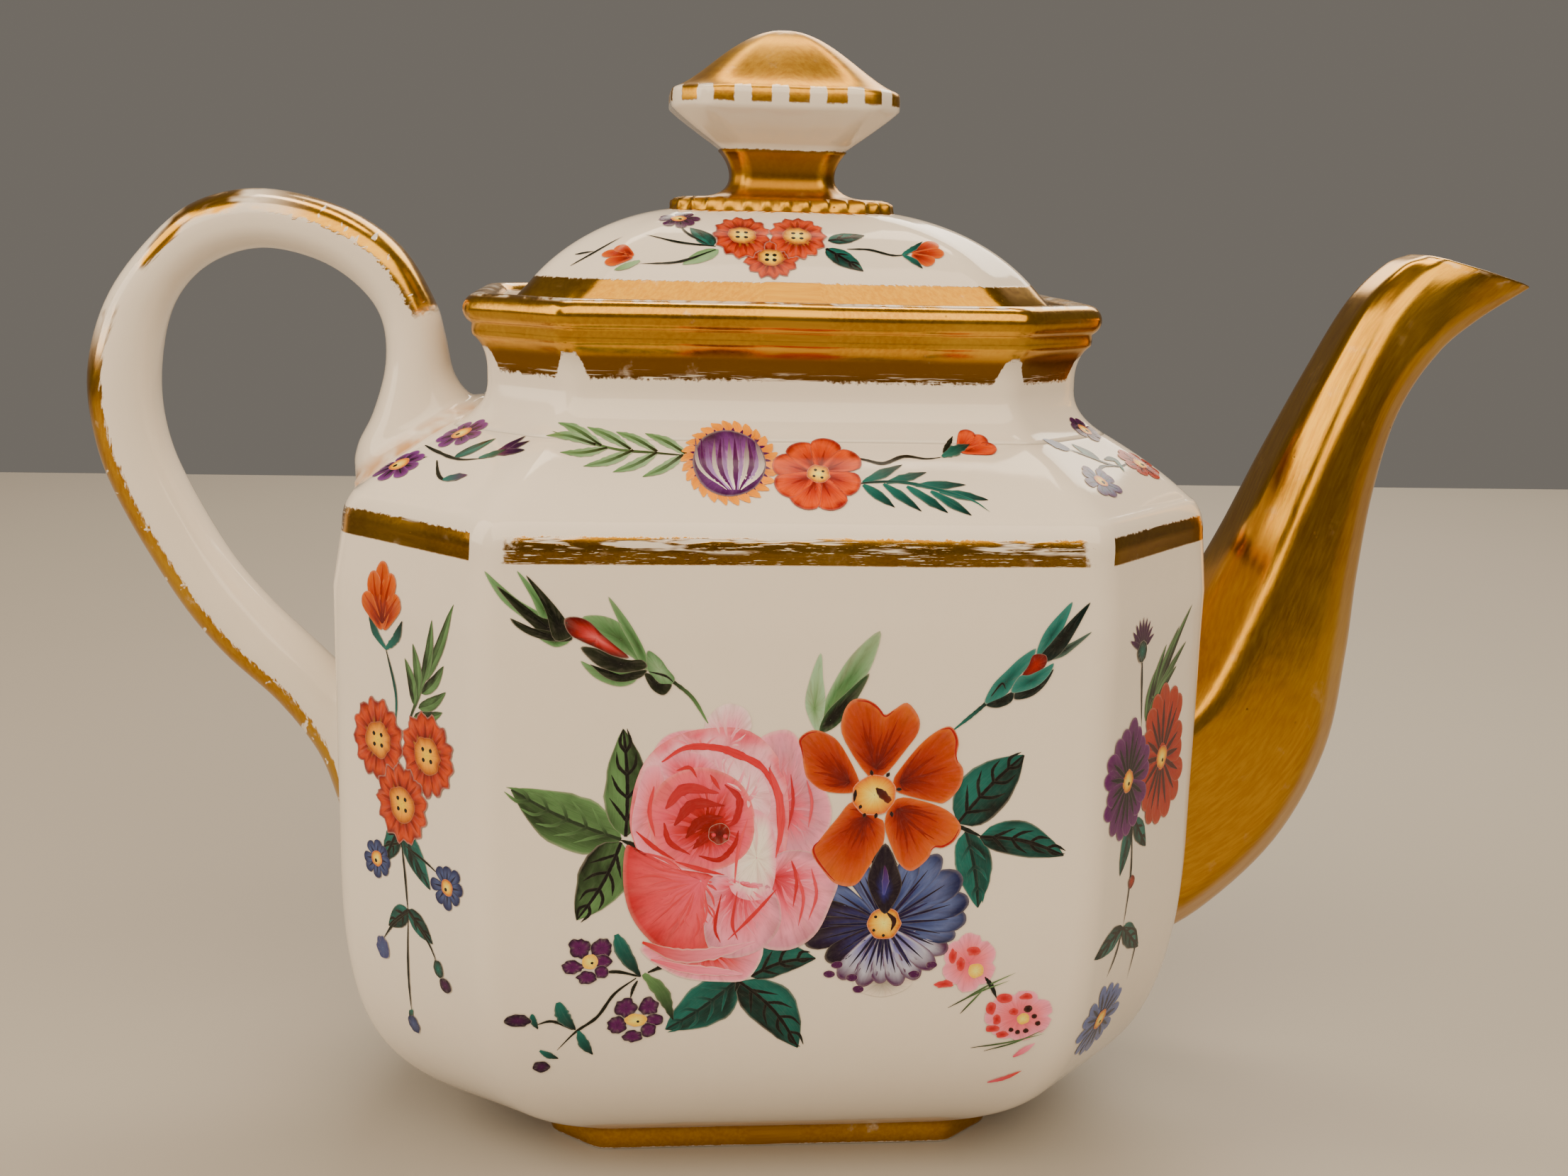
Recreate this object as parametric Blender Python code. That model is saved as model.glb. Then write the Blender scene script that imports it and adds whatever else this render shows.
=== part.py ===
"""Miniature porcelain teapot with a lift-off lid.

The plan of the pot is a rectangle with its four corners cut off, so that every
horizontal section is an octagon. Frame: +X towards the spout, -Y towards the
front panel, +Z up. The origin is under the middle of the overall box, on the
plane of the foot. Lengths below are in millimetres and become metres in the mesh.
"""

import math

import bmesh
import bpy
import numpy as np
from mathutils import Vector

MM = 0.001
GAP = 0.3  # joint between pieces that are luted or rest together

# --- driving dimensions -----------------------------------------------------
POT_X = -4.0  # middle of the pot: the spout reaches 8 mm further than the handle

# Octagonal plans: half length, half depth, the corner's cut along X and along Y,
# and how far the handle's end swells out past the half length.
BELLY = np.array([31.8, 23.0, 10.4, 11.6, 0.9])
ARRIS = np.array([31.5, 22.7, 10.5, 11.9, 0.5])
HEEL = np.array([28.0, 19.8, 9.1, 9.9, 3.0])  # pulls the wall round under itself
SEAT = np.array([17.6, 13.9, 3.9, 3.5, 1.9])  # where the body stands on the foot
FLOOR = np.array([15.5, 11.8, 3.0, 2.8, 1.5])
NECK_FOOT = np.array([22.3, 14.4, 6.2, 5.8, 0.0])
NECK = np.array([21.75, 13.8, 6.1, 5.6, 0.0])
FOOT = np.array([17.2, 13.5, 3.7, 3.3, 0.0])
LID_EDGE = np.array([20.0, 12.35, 4.4, 4.2, 0.0])
LID_TOP = np.array([8.4, 5.3, 2.2, 2.2, 0.0])
LID_CROWN = np.array([5.0, 2.8, 1.2, 1.2, 0.0])  # flat middle of the dome's underside
KNOB_RIM = np.array([8.5, 6.0, 2.3, 2.3, 0.0])
CUT_INSET = 2.0 - math.sqrt(2.0)  # how a 45 degree cut shrinks with an inset

FOOT_HEIGHT = 1.75
BODY_BOTTOM = FOOT_HEIGHT + GAP
HEEL_Z = 5.6
HEEL_TOP = 8.1
BELLY_LOW = 24.9  # where the wall starts to round under
BELLY_HIGH = 43.0
ARRIS_Z = 49.4
ARRIS_BEND = 1.2  # height below the arris over which the wall leans in
SHOULDER_TOP = 55.8
WALL = 1.9
FLOOR_Z = 4.5

NECK_BOTTOM = SHOULDER_TOP + GAP
NECK_FLARE = 0.5
COVE_Z = 59.0
BEAD_RADIUS = 1.15
BEAD_OUT = 0.5  # the bead's centre, outwards from the face of the neck
BEAD_Z = 63.25
LEDGE_Z = 62.9  # the gallery that the lid rests on
LEDGE_THICK = 1.2
LEDGE_REACH = 2.95  # from the outside of the neck to the gallery's inner edge

LID_SEAT = LEDGE_Z + GAP
LID_BAND_TOP = 65.65
LID_DOME_TOP = 70.6
FLANGE_BOTTOM = 59.0
FLANGE_PLAY = 0.6  # between the flange and the gallery, all round
FLANGE_THICK = 1.4

BASE_BOTTOM = LID_DOME_TOP + GAP
BASE_TOP = 71.5
STEM_BOTTOM = BASE_TOP + GAP
STEM_TOP = 75.0
KNOB_BOTTOM = STEM_TOP + GAP
KNOB_TOP = 83.8

STRAINER_Z = 26.0
STRAINER_PITCH = 3.4
STRAINER_RADIUS = 0.9
STRAINER_RING = 6

SOFT = 1.6  # length of the rounding at a corner of the plan
CORNER_STEPS = 2

# Spout: upper edge, lower edge, half width and corner cut at each station.
SPOUT = [
    ((29.3, 33.5), (29.3, 11.5), 7.6, 3.6),
    ((30.6, 34.6), (35.5, 14.8), 7.5, 3.6),
    ((31.9, 36.2), (41.6, 20.8), 7.3, 3.5),
    ((33.0, 38.0), (45.4, 28.5), 6.9, 3.3),
    ((34.6, 41.0), (46.6, 36.5), 6.4, 3.1),
    ((37.2, 46.2), (47.1, 43.2), 5.8, 2.8),
    ((40.1, 52.8), (47.9, 49.8), 5.2, 2.5),
    ((43.15, 59.2), (49.5, 56.1), 4.6, 2.15),
    ((46.1, 64.65), (52.2, 60.6), 4.0, 1.8),
    ((48.8, 67.5), (55.6, 63.4), 3.5, 1.5),
    ((50.7, 68.35), (59.9, 66.05), 2.9, 1.1),
]
SPOUT_WALL_ROOT = 1.9
SPOUT_WALL_LIP = 1.1
BEAK_TAPER = 0.55  # how much narrower the mouth is at its pouring end

# Handle: outer edge, inner edge and half width at each station.
HANDLE = [
    ((-20.5, 53.0), (-30.5, 46.5), 4.2),
    ((-22.2, 56.0), (-32.2, 50.2), 4.1),
    ((-23.6, 56.3), (-32.1, 52.3), 3.9),
    ((-24.8, 57.9), (-30.9, 54.9), 3.5),
    ((-25.4, 60.7), (-29.9, 58.6), 3.2),
    ((-26.2, 63.4), (-30.1, 61.8), 3.0),
    ((-28.7, 67.4), (-31.7, 64.2), 3.0),
    ((-32.9, 70.1), (-34.6, 66.1), 3.0),
    ((-38.5, 71.35), (-38.6, 67.0), 3.0),
    ((-43.3, 70.4), (-42.1, 66.1), 3.0),
    ((-47.0, 67.5), (-44.6, 64.1), 3.0),
    ((-50.3, 62.9), (-46.1, 61.2), 3.0),
    ((-51.9, 57.6), (-46.8, 56.8), 3.0),
    ((-51.5, 52.3), (-46.4, 52.8), 3.0),
    ((-49.8, 47.4), (-44.9, 48.9), 3.0),
    ((-46.3, 40.9), (-42.0, 43.6), 3.0),
    ((-42.8, 36.1), (-38.9, 39.7), 3.0),
    ((-38.7, 32.1), (-35.2, 36.0), 3.1),
    ((-35.7, 28.0), (-32.6, 33.4), 3.3),
    ((-34.3, 24.0), (-30.6, 31.2), 3.5),
    ((-32.9, 19.0), (-28.6, 29.0), 3.6),
    ((-30.0, 15.5), (-27.0, 26.0), 3.6),
]

# Curves as half length and height; the second point of each bulges the curve.
SHOULDER = [(ARRIS[0], ARRIS_Z), (28.3, 52.7), (NECK_FOOT[0], SHOULDER_TOP)]
INNER_BULGE = (25.9, 52.0)
LID_BAND = [(LID_EDGE[0], LID_SEAT), (18.25, LID_BAND_TOP)]
LID_DOME = [LID_BAND[1], (16.0, 68.2), (12.5, 70.0), (LID_TOP[0], LID_DOME_TOP)]
STEM_WAIST = [(5.2, STEM_BOTTOM), (3.3, 72.1), (3.6, 73.2), (4.6, STEM_TOP)]
KNOB_UNDERSIDE = [(4.7, KNOB_BOTTOM), (8.2, 77.6), (KNOB_RIM[0], 77.95)]
KNOB_DOME = [(KNOB_RIM[0], 79.3), (6.0, 80.2), (3.6, 83.6), (0.7, KNOB_TOP)]

# Sections of rings that follow an outline, as distance outwards from it and height.
NECK_SKIRT = [(NECK_FLARE, NECK_BOTTOM), (0.0, 56.9), (0.0, 57.8)]
NECK_COVE = [(0.0, COVE_Z), (0.05, 60.6), (1.0, 61.45)]
NECK_STRIP = [(1.05, 61.55)]
GALLERY = [(-0.62, LEDGE_Z), (-LEDGE_REACH, LEDGE_Z), (-LEDGE_REACH, LEDGE_Z - LEDGE_THICK)]
NECK_INSIDE = [(-1.95, 60.6), (-1.95, NECK_BOTTOM)]
FOOT_RING = [(-0.3, 0.0), (0.0, 0.3), (0.0, FOOT_HEIGHT), (-2.2, FOOT_HEIGHT), (-2.1, 0.25), (-1.9, 0.0)]
PLINTH = [(0.0, BASE_BOTTOM), (0.0, BASE_BOTTOM + 0.25), (-0.35, BASE_TOP)]

PORCELAIN = (0.86, 0.82, 0.76)
GOLD = (0.62, 0.40, 0.13)


# --- geometry ---------------------------------------------------------------
def bezier(points, count):
    """count + 1 points along the Bezier curve of any degree."""
    result = []
    for i in range(count + 1):
        layer = [np.array(p, float) for p in points]
        while len(layer) > 1:
            layer = [a + (b - a) * (i / count) for a, b in zip(layer, layer[1:])]
        result.append(layer[0])
    return result


def arc(centre, radius, start, end, count):
    """count + 1 points on an arc, with the angles in degrees."""
    angles = np.radians(np.linspace(start, end, count + 1))
    return [np.array([centre[0] + radius * math.cos(a), centre[1] + radius * math.sin(a)]) for a in angles]


def smooth_path(points, steps):
    """A Catmull-Rom curve through rows of numbers, with steps spans between two rows."""
    rows = np.array(points, float)
    before = np.vstack([2 * rows[0] - rows[1], rows, 2 * rows[-1] - rows[-2]])
    result = []
    for i in range(1, len(before) - 2):
        p0, p1, p2, p3 = before[i - 1 : i + 3]
        for k in range(steps):
            t = k / steps
            result.append(
                0.5 * (2 * p1 + (p2 - p0) * t + (2 * p0 - 5 * p1 + 4 * p2 - p3) * t**2
                       + (3 * p1 - p0 - 3 * p2 + p3) * t**3)
            )
    result.append(rows[-1])
    return result


def inset(plan, distance):
    """The octagon of a wall that lies the given distance inside this one."""
    shrink = np.array([1.0, 1.0, CUT_INSET, CUT_INSET, 0.0])
    return plan - shrink * distance


def between(first, last, half_x):
    """The plan between two others that has this half length."""
    share = (first[0] - half_x) / (first[0] - last[0])
    return first + (last - first) * share


def octagon(plan, soft=SOFT, steps=CORNER_STEPS):
    """Points of a rectangle with cut corners, each corner rounded by a small curve."""
    a, b, cut_a, cut_b, swell = plan
    corners = []
    for sx, sy in ((1, 1), (-1, 1), (-1, -1), (1, -1)):
        end = a + swell if sx < 0 else a
        pair = [np.array([sx * end, sy * (b - cut_b)]), np.array([sx * (a - cut_a), sy * b])]
        corners += pair if sx * sy > 0 else pair[::-1]
    points = []
    for i, corner in enumerate(corners):
        back, ahead = corners[i - 1] - corner, corners[(i + 1) % 8] - corner
        reach = min(soft, 0.45 * np.linalg.norm(back), 0.45 * np.linalg.norm(ahead))
        start = corner + back / np.linalg.norm(back) * reach
        end = corner + ahead / np.linalg.norm(ahead) * reach
        points += bezier([start, corner, end], steps)
    return points


def level(plan, z, soft=SOFT):
    """A horizontal ring of points."""
    return [Vector((x, y, z)) * MM for x, y in octagon(plan, soft)]


def outline_rings(plan, section, soft):
    """Horizontal rings at the given distances outwards from a plan, and heights."""
    return [level(inset(plan, -out), z, soft) for out, z in section]


def upright(upper, lower, half_width, cut, taper=0.0, wall=0.0):
    """A ring of points across the XZ plane, from its upper or outer edge to its lower or inner one."""
    upper, lower = np.array(upper, float), np.array(lower, float)
    along = (lower - upper) / np.linalg.norm(lower - upper)
    middle = (upper + lower) / 2
    half = np.linalg.norm(lower - upper) / 2
    plan = inset(np.array([half, half_width, cut, cut, 0.0]), wall)
    points = []
    for p, q in octagon(plan, soft=0.5 * cut, steps=1):
        narrow = 1 - taper * max(0.0, p / half)
        x, z = middle + along * p
        points.append(Vector((x, q * narrow, z)) * MM)
    return points


def loft(rings, closed):
    """A mesh through rings of points: a closed tube, or a body with both ends filled."""
    bm = bmesh.new()
    loops = [[bm.verts.new(p) for p in ring] for ring in rings]
    pairs = list(zip(loops, loops[1:]))
    if closed:
        pairs.append((loops[-1], loops[0]))
    for lower, upper in pairs:
        for i in range(len(lower)):
            j = (i + 1) % len(lower)
            bm.faces.new((lower[i], lower[j], upper[j], upper[i]))
    if not closed:
        bm.faces.new(loops[0][::-1])
        bm.faces.new(loops[-1])
    bmesh.ops.recalc_face_normals(bm, faces=bm.faces)
    return bm


# --- objects ----------------------------------------------------------------
def material(name, colour, metallic, roughness):
    mat = bpy.data.materials.new(name)
    mat.use_nodes = True
    shader = mat.node_tree.nodes["Principled BSDF"]
    shader.inputs["Base Color"].default_value = (*colour, 1.0)
    shader.inputs["Metallic"].default_value = metallic
    shader.inputs["Roughness"].default_value = roughness
    return mat


def piece(name, bm, parent, gilt=False):
    """An object from a bmesh, smooth shaded, under the empty that carries it."""
    mesh = bpy.data.meshes.new(name)
    bm.to_mesh(mesh)
    bm.free()
    mesh.shade_smooth()
    mesh.set_sharp_from_angle(angle=math.radians(35))
    colour, metallic, roughness = (GOLD, 1.0, 0.25) if gilt else (PORCELAIN, 0.0, 0.12)
    mesh.materials.append(material(name, colour, metallic, roughness))
    ob = bpy.data.objects.new(name, mesh)
    bpy.context.collection.objects.link(ob)
    ob.parent = parent
    return ob


def carrier(name):
    """The empty that a body's pieces are parented to, on the pot's vertical axis."""
    ob = bpy.data.objects.new(name, None)
    ob.location = (POT_X * MM, 0, 0)
    bpy.context.collection.objects.link(ob)
    return ob


def cutter(name, bm, parent):
    """A tool for a Boolean, which is no part of the object."""
    mesh = bpy.data.meshes.new(name)
    bm.to_mesh(mesh)
    bm.free()
    ob = bpy.data.objects.new(name, mesh)
    bpy.context.collection.objects.link(ob)
    ob.parent = parent
    ob.hide_render = True
    ob.display_type = "WIRE"
    return ob


def cut(ob, tool):
    boolean = ob.modifiers.new(tool.name, "BOOLEAN")
    boolean.operation = "DIFFERENCE"
    boolean.object = tool


# --- the pot ----------------------------------------------------------------
def under_curve(belly, heel, seat, bottom):
    """Plans of a wall, each followed by its height, as it rounds under to its lowest ring."""
    controls = [(*belly, BELLY_LOW), (*belly, HEEL_TOP + bottom), (*heel, HEEL_Z + bottom),
                (*seat, BODY_BOTTOM + bottom)]
    return [(row[:-1], row[-1]) for row in bezier(controls, 9)]


def outer_levels(grow=0.0):
    """The outside of the body as plans and heights, from the foot to the neck."""
    rows = under_curve(BELLY, HEEL, SEAT, 0.0)[::-1]
    rows.append((BELLY, BELLY_HIGH))
    rows.append(((BELLY + ARRIS) / 2, ARRIS_Z - ARRIS_BEND))
    rows += [(between(ARRIS, NECK_FOOT, x), z) for x, z in bezier(SHOULDER, 4)]
    return [(inset(plan, -grow), z) for plan, z in rows]


def inner_levels():
    """The inside of the body, from the neck down to the floor."""
    top = inset(NECK_FOOT, 1.3 * WALL)
    wide = inset(ARRIS, WALL)
    shoulder = bezier([(top[0], SHOULDER_TOP), INNER_BULGE, (wide[0], ARRIS_Z - ARRIS_BEND)], 4)
    rows = [(between(top, wide, x), z) for x, z in shoulder]
    rows.append((inset(BELLY, WALL), BELLY_HIGH))
    return rows + under_curve(inset(BELLY, WALL), inset(HEEL, WALL), FLOOR, FLOOR_Z - BODY_BOTTOM)


def make_body(pot):
    rings = [level(plan, z) for plan, z in outer_levels() + inner_levels()]
    shell = piece("body_shell", loft(rings, closed=False), pot)
    cut(shell, cutter("strainer_drills", strainer_drills(), pot))
    return shell


def strainer_drills():
    """Drills for the pierced wall behind the spout: a ring of holes round one hole."""
    spots = [(0.0, 0.0)]
    for i in range(STRAINER_RING):
        angle = math.tau * i / STRAINER_RING
        spots.append((STRAINER_PITCH * math.sin(angle), STRAINER_PITCH * math.cos(angle)))
    bm = bmesh.new()
    for y, z in spots:
        drill = bmesh.ops.create_cone(
            bm, cap_ends=True, segments=12, depth=8 * MM,
            radius1=STRAINER_RADIUS * MM, radius2=STRAINER_RADIUS * MM,
        )["verts"]
        bmesh.ops.rotate(bm, verts=drill, matrix=Vector((0, 0, 1)).rotation_difference(
            Vector((1, 0, 0))).to_matrix())
        centre = Vector((BELLY[0] - WALL / 2, y, STRAINER_Z + z)) * MM
        bmesh.ops.translate(bm, verts=drill, vec=centre)
    return bm


def make_collar(pot):
    """The neck with its cove, a thin strip, the bead of the rim and the gallery inside it."""
    bead = arc((BEAD_OUT, BEAD_Z), BEAD_RADIUS, -75, 165, 9)
    section = bezier(NECK_SKIRT, 2) + bezier(NECK_COVE, 3) + NECK_STRIP + bead + GALLERY + NECK_INSIDE
    return piece("neck_collar", loft(outline_rings(NECK, section, soft=1.0), closed=True), pot)


def make_foot(pot):
    return piece("foot_ring", loft(outline_rings(FOOT, FOOT_RING, soft=0.8), closed=True), pot, gilt=True)


def clearance(pot):
    """The pot's outside, grown by the joint's gap, which trims the spout and the handle."""
    neck = [NECK_SKIRT[0], NECK_COVE[0]]
    rings = [level(plan, z) for plan, z in outer_levels(grow=GAP)]
    rings += outline_rings(inset(NECK, -GAP), neck, soft=1.0)
    return cutter("pot_clearance", loft(rings, closed=False), pot)


def make_spout(pot, trim):
    rows = [(*upper, *lower, width, corner) for upper, lower, width, corner in SPOUT]
    stations = smooth_path(rows, 2)
    outside, bore = [], []
    for i, (ux, uz, lx, lz, width, corner) in enumerate(stations):
        share = i / (len(stations) - 1)
        wall = SPOUT_WALL_ROOT + (SPOUT_WALL_LIP - SPOUT_WALL_ROOT) * share
        taper = BEAK_TAPER * max(0.0, share - 0.8) / 0.2
        outside.append(upright((ux, uz), (lx, lz), width, corner, taper))
        bore.append(upright((ux, uz), (lx, lz), width, corner, taper, wall))
    spout = piece("spout", loft(outside + bore[::-1], closed=True), pot, gilt=True)
    cut(spout, trim)
    return spout


def make_handle(pot, trim):
    rows = [(*outer, *inner, width) for outer, inner, width in HANDLE]
    rings = []
    for ox, oz, ix, iz, width in smooth_path(rows, 2):
        thick = math.hypot(ox - ix, oz - iz)
        rings.append(upright((ox, oz), (ix, iz), width, 0.55 * min(thick / 2, width)))
    handle = piece("handle", loft(rings, closed=False), pot)
    cut(handle, trim)
    return handle


# --- the lid ----------------------------------------------------------------
def flange_plan():
    """The outside of the flange that drops inside the gallery."""
    return inset(NECK, LEDGE_REACH + FLANGE_PLAY)


def make_lid_dome(lid):
    outside = LID_BAND[:1] + bezier(LID_DOME, 7)
    opening = inset(flange_plan(), FLANGE_THICK)
    crown = LID_DOME_TOP - WALL
    inside = bezier([(LID_CROWN[0], crown), (11.5, crown - 0.2), (15.6, 66.4), (opening[0], LID_SEAT)], 7)
    rings = [level(between(LID_CROWN, opening, x), z, soft=1.2) for x, z in inside]
    rings += [level(between(LID_EDGE, LID_TOP, x), z, soft=1.2) for x, z in outside]
    return piece("lid_dome", loft(rings, closed=False), lid)


def make_flange(lid):
    outer = flange_plan()
    inner = inset(outer, FLANGE_THICK)
    top = LID_SEAT - GAP
    profile = [(outer, top), (outer, FLANGE_BOTTOM + 0.4), (inset(outer, 0.4), FLANGE_BOTTOM),
               (inner, FLANGE_BOTTOM), (inner, top)]
    rings = [level(plan, z, soft=0.8) for plan, z in profile]
    return piece("lid_flange", loft(rings, closed=True), lid)


def make_knob_base(lid):
    """The low plinth with a gilt edge that the knob stands on."""
    return piece("knob_base", loft(outline_rings(LID_TOP, PLINTH, soft=0.7), closed=False), lid, gilt=True)


def make_stem(lid):
    """The waisted octagonal stem."""
    rings = [level(KNOB_RIM * x / KNOB_RIM[0], z, soft=0.5) for x, z in bezier(STEM_WAIST, 6)]
    return piece("knob_stem", loft(rings, closed=False), lid, gilt=True)


def make_knob(lid):
    """The cap: a faceted underside, a narrow upright rim and a domed top."""
    outside = KNOB_UNDERSIDE + bezier(KNOB_DOME, 8)
    rings = [level(KNOB_RIM * x / KNOB_RIM[0], z, soft=1.0) for x, z in outside]
    return piece("knob_head", loft(rings, closed=False), lid, gilt=True)


def main():
    for ob in list(bpy.data.objects):
        bpy.data.objects.remove(ob, do_unlink=True)
    pot = carrier("pot_axis")
    make_body(pot)
    make_collar(pot)
    make_foot(pot)
    trim = clearance(pot)
    make_spout(pot, trim)
    make_handle(pot, trim)
    lid = carrier("lid_lift_axis")
    make_lid_dome(lid)
    make_flange(lid)
    make_knob_base(lid)
    make_stem(lid)
    make_knob(lid)


main()
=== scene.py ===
"""The looks of the miniature teapot: porcelain skins, burnished gold and painted flowers."""

import math
import random

import bpy
import numpy as np
from mathutils import Matrix, Vector, noise
from mathutils.bvhtree import BVHTree


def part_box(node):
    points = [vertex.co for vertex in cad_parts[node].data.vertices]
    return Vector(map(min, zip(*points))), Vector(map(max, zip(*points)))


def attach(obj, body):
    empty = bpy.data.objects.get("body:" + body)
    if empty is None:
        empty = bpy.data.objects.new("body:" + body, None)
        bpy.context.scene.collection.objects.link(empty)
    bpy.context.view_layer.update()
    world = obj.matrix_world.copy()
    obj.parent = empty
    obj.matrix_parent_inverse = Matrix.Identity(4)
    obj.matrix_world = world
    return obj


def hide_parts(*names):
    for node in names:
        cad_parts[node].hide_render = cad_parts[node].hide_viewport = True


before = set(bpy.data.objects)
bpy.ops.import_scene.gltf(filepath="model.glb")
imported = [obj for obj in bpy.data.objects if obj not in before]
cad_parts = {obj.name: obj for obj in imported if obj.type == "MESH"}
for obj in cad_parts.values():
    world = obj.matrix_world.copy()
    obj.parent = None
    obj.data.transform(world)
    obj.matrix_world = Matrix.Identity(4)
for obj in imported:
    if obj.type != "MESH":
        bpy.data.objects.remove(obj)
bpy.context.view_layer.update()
noise.seed_set(5)  # without it, noise_vector would start from the clock

MM = 0.001
FOOT_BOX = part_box("foot_ring")
AXIS_X = (FOOT_BOX[0].x + FOOT_BOX[1].x) / 2  # the pot's vertical axis
BASE_Z = FOOT_BOX[0].z
ORIGIN = Vector((AXIS_X / MM, 0, BASE_Z / MM))  # where the axis meets the foot's plane, in mm

# Octagonal plans in mm from the pot's axis: half length, half depth, the corner's cut
# along X and along Y, and how far the handle's end swells out.
BELLY = np.array([31.8, 23.0, 10.4, 11.6, 0.9])
ARRIS = np.array([31.5, 22.7, 10.5, 11.9, 0.5])
HEEL = np.array([28.0, 19.8, 9.1, 9.9, 3.0])
SEAT = np.array([17.6, 13.9, 3.9, 3.5, 1.9])
FLOOR = np.array([15.5, 11.8, 3.0, 2.8, 1.5])
NECK_FOOT = np.array([22.3, 14.4, 6.2, 5.8, 0.0])
NECK = np.array([21.75, 13.8, 6.1, 5.6, 0.0])
FOOT = np.array([17.2, 13.5, 3.7, 3.3, 0.0])
LID_EDGE = np.array([20.0, 12.35, 4.4, 4.2, 0.0])
LID_TOP = np.array([8.4, 5.3, 2.2, 2.2, 0.0])
LID_CROWN = np.array([5.0, 2.8, 1.2, 1.2, 0.0])
FLANGE = np.array([18.2, 10.25, 4.0, 3.5, 0.0])
KNOB_RIM = np.array([8.5, 6.0, 2.3, 2.3, 0.0])
CUT_INSET = 2.0 - math.sqrt(2.0)
HAND = (0.06, 9.0)  # how far, and over what length, the maker's hand left the walls uneven
ARRIS_Z = 49.4
SHOULDER_TOP = 55.8
WALL = 1.9
HANDLE_FILLET, SPOUT_FILLET = 1.5, 0.9
PLINTH_LOBE_PITCH = 1.4

SPOUT = [
    ((29.3, 33.5), (29.3, 11.5), 7.6, 3.6),
    ((30.6, 34.6), (35.5, 14.8), 7.5, 3.6),
    ((31.9, 36.2), (41.6, 20.8), 7.3, 3.5),
    ((33.0, 38.0), (45.4, 28.5), 6.9, 3.3),
    ((34.6, 41.0), (46.6, 36.5), 6.4, 3.1),
    ((37.2, 46.2), (47.1, 43.2), 5.8, 2.8),
    ((40.1, 52.8), (47.9, 49.8), 5.2, 2.5),
    ((43.15, 59.2), (49.5, 56.1), 4.6, 2.15),
    ((46.1, 64.65), (52.2, 60.6), 4.0, 1.8),
    ((48.8, 67.55), (55.6, 63.4), 3.5, 1.5),
    ((50.7, 68.4), (59.9, 66.05), 2.9, 1.1),
]
HANDLE = [
    ((-20.5, 53.0), (-30.5, 46.5), 4.2),
    ((-22.2, 56.0), (-32.2, 50.2), 4.1),
    ((-23.6, 56.3), (-32.1, 52.3), 3.7),
    ((-24.8, 57.9), (-30.9, 54.9), 3.4),
    ((-25.4, 60.7), (-29.9, 58.6), 3.1),
    ((-26.2, 63.4), (-30.1, 61.8), 3.0),
    ((-28.7, 67.4), (-31.7, 64.2), 3.0),
    ((-32.9, 70.1), (-34.6, 66.1), 3.0),
    ((-38.5, 71.35), (-38.6, 67.0), 3.0),
    ((-43.3, 70.4), (-42.1, 66.1), 3.0),
    ((-47.0, 67.5), (-44.6, 64.1), 3.0),
    ((-50.3, 62.9), (-46.1, 61.2), 3.0),
    ((-51.9, 57.6), (-46.8, 56.8), 3.0),
    ((-51.5, 52.3), (-46.4, 52.8), 3.0),
    ((-49.8, 47.4), (-44.9, 48.9), 3.0),
    ((-46.3, 40.9), (-42.0, 43.6), 3.0),
    ((-42.8, 36.1), (-38.9, 39.7), 3.0),
    ((-38.7, 32.1), (-35.2, 36.0), 3.1),
    ((-35.7, 28.0), (-32.6, 33.4), 3.2),
    ((-34.3, 24.0), (-30.6, 31.2), 3.3),
    ((-32.9, 19.0), (-28.6, 29.0), 3.3),
    ((-30.0, 15.5), (-27.0, 26.0), 3.3),
]

PORCELAIN = (0.80, 0.735, 0.645)
GOLD = (0.54, 0.285, 0.02)
# deep brown gold, painted shade for gold whose reflection falls dark
SHADED_GOLD = (0.17, 0.072, 0.004)


def in_frame(point):
    """A point in mm from the pot's axis and foot, in the frame's metres."""
    return (Vector(point) + ORIGIN) * MM


# --- curves and rings ---------------------------------------------------------
def bezier(points, count):
    """count + 1 points along the Bezier curve of any degree."""
    result = []
    for i in range(count + 1):
        layer = [np.array(p, float) for p in points]
        while len(layer) > 1:
            layer = [a + (b - a) * (i / count) for a, b in zip(layer, layer[1:])]
        result.append(layer[0])
    return result


def catmull_rom(p0, p1, p2, p3, t):
    """The point at share t between p1 and p2."""
    square, cube = 2 * p0 - 5 * p1 + 4 * p2 - p3, 3 * p1 - p0 - 3 * p2 + p3
    return 0.5 * (2 * p1 + (p2 - p0) * t + square * t**2 + cube * t**3)


def smooth_path(points, steps):
    """A Catmull-Rom curve through rows of numbers, with steps spans between two rows."""
    rows = np.array(points, float)
    before = np.vstack([2 * rows[0] - rows[1], rows, 2 * rows[-1] - rows[-2]])
    result = []
    for i in range(1, len(before) - 2):
        p0, p1, p2, p3 = before[i - 1 : i + 3]
        for k in range(steps):
            result.append(catmull_rom(p0, p1, p2, p3, k / steps))
    result.append(rows[-1])
    return result


def arc(centre, radius, start, end, count):
    """count + 1 points round the centre, from one angle to the other in degrees."""
    angles = np.radians(np.linspace(start, end, count + 1))
    return [np.array([centre[0] + radius * math.cos(a),
                      centre[1] + radius * math.sin(a)]) for a in angles]


def inset(plan, distance):
    """The plan drawn in by a distance all round, its cut corners too."""
    return plan - np.array([1.0, 1.0, CUT_INSET, CUT_INSET, 0.0]) * distance


def between(first, last, half_x):
    """The plan of this half length on the way from the first plan to the last."""
    share = (first[0] - half_x) / (first[0] - last[0])
    return first + (last - first) * share


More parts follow.
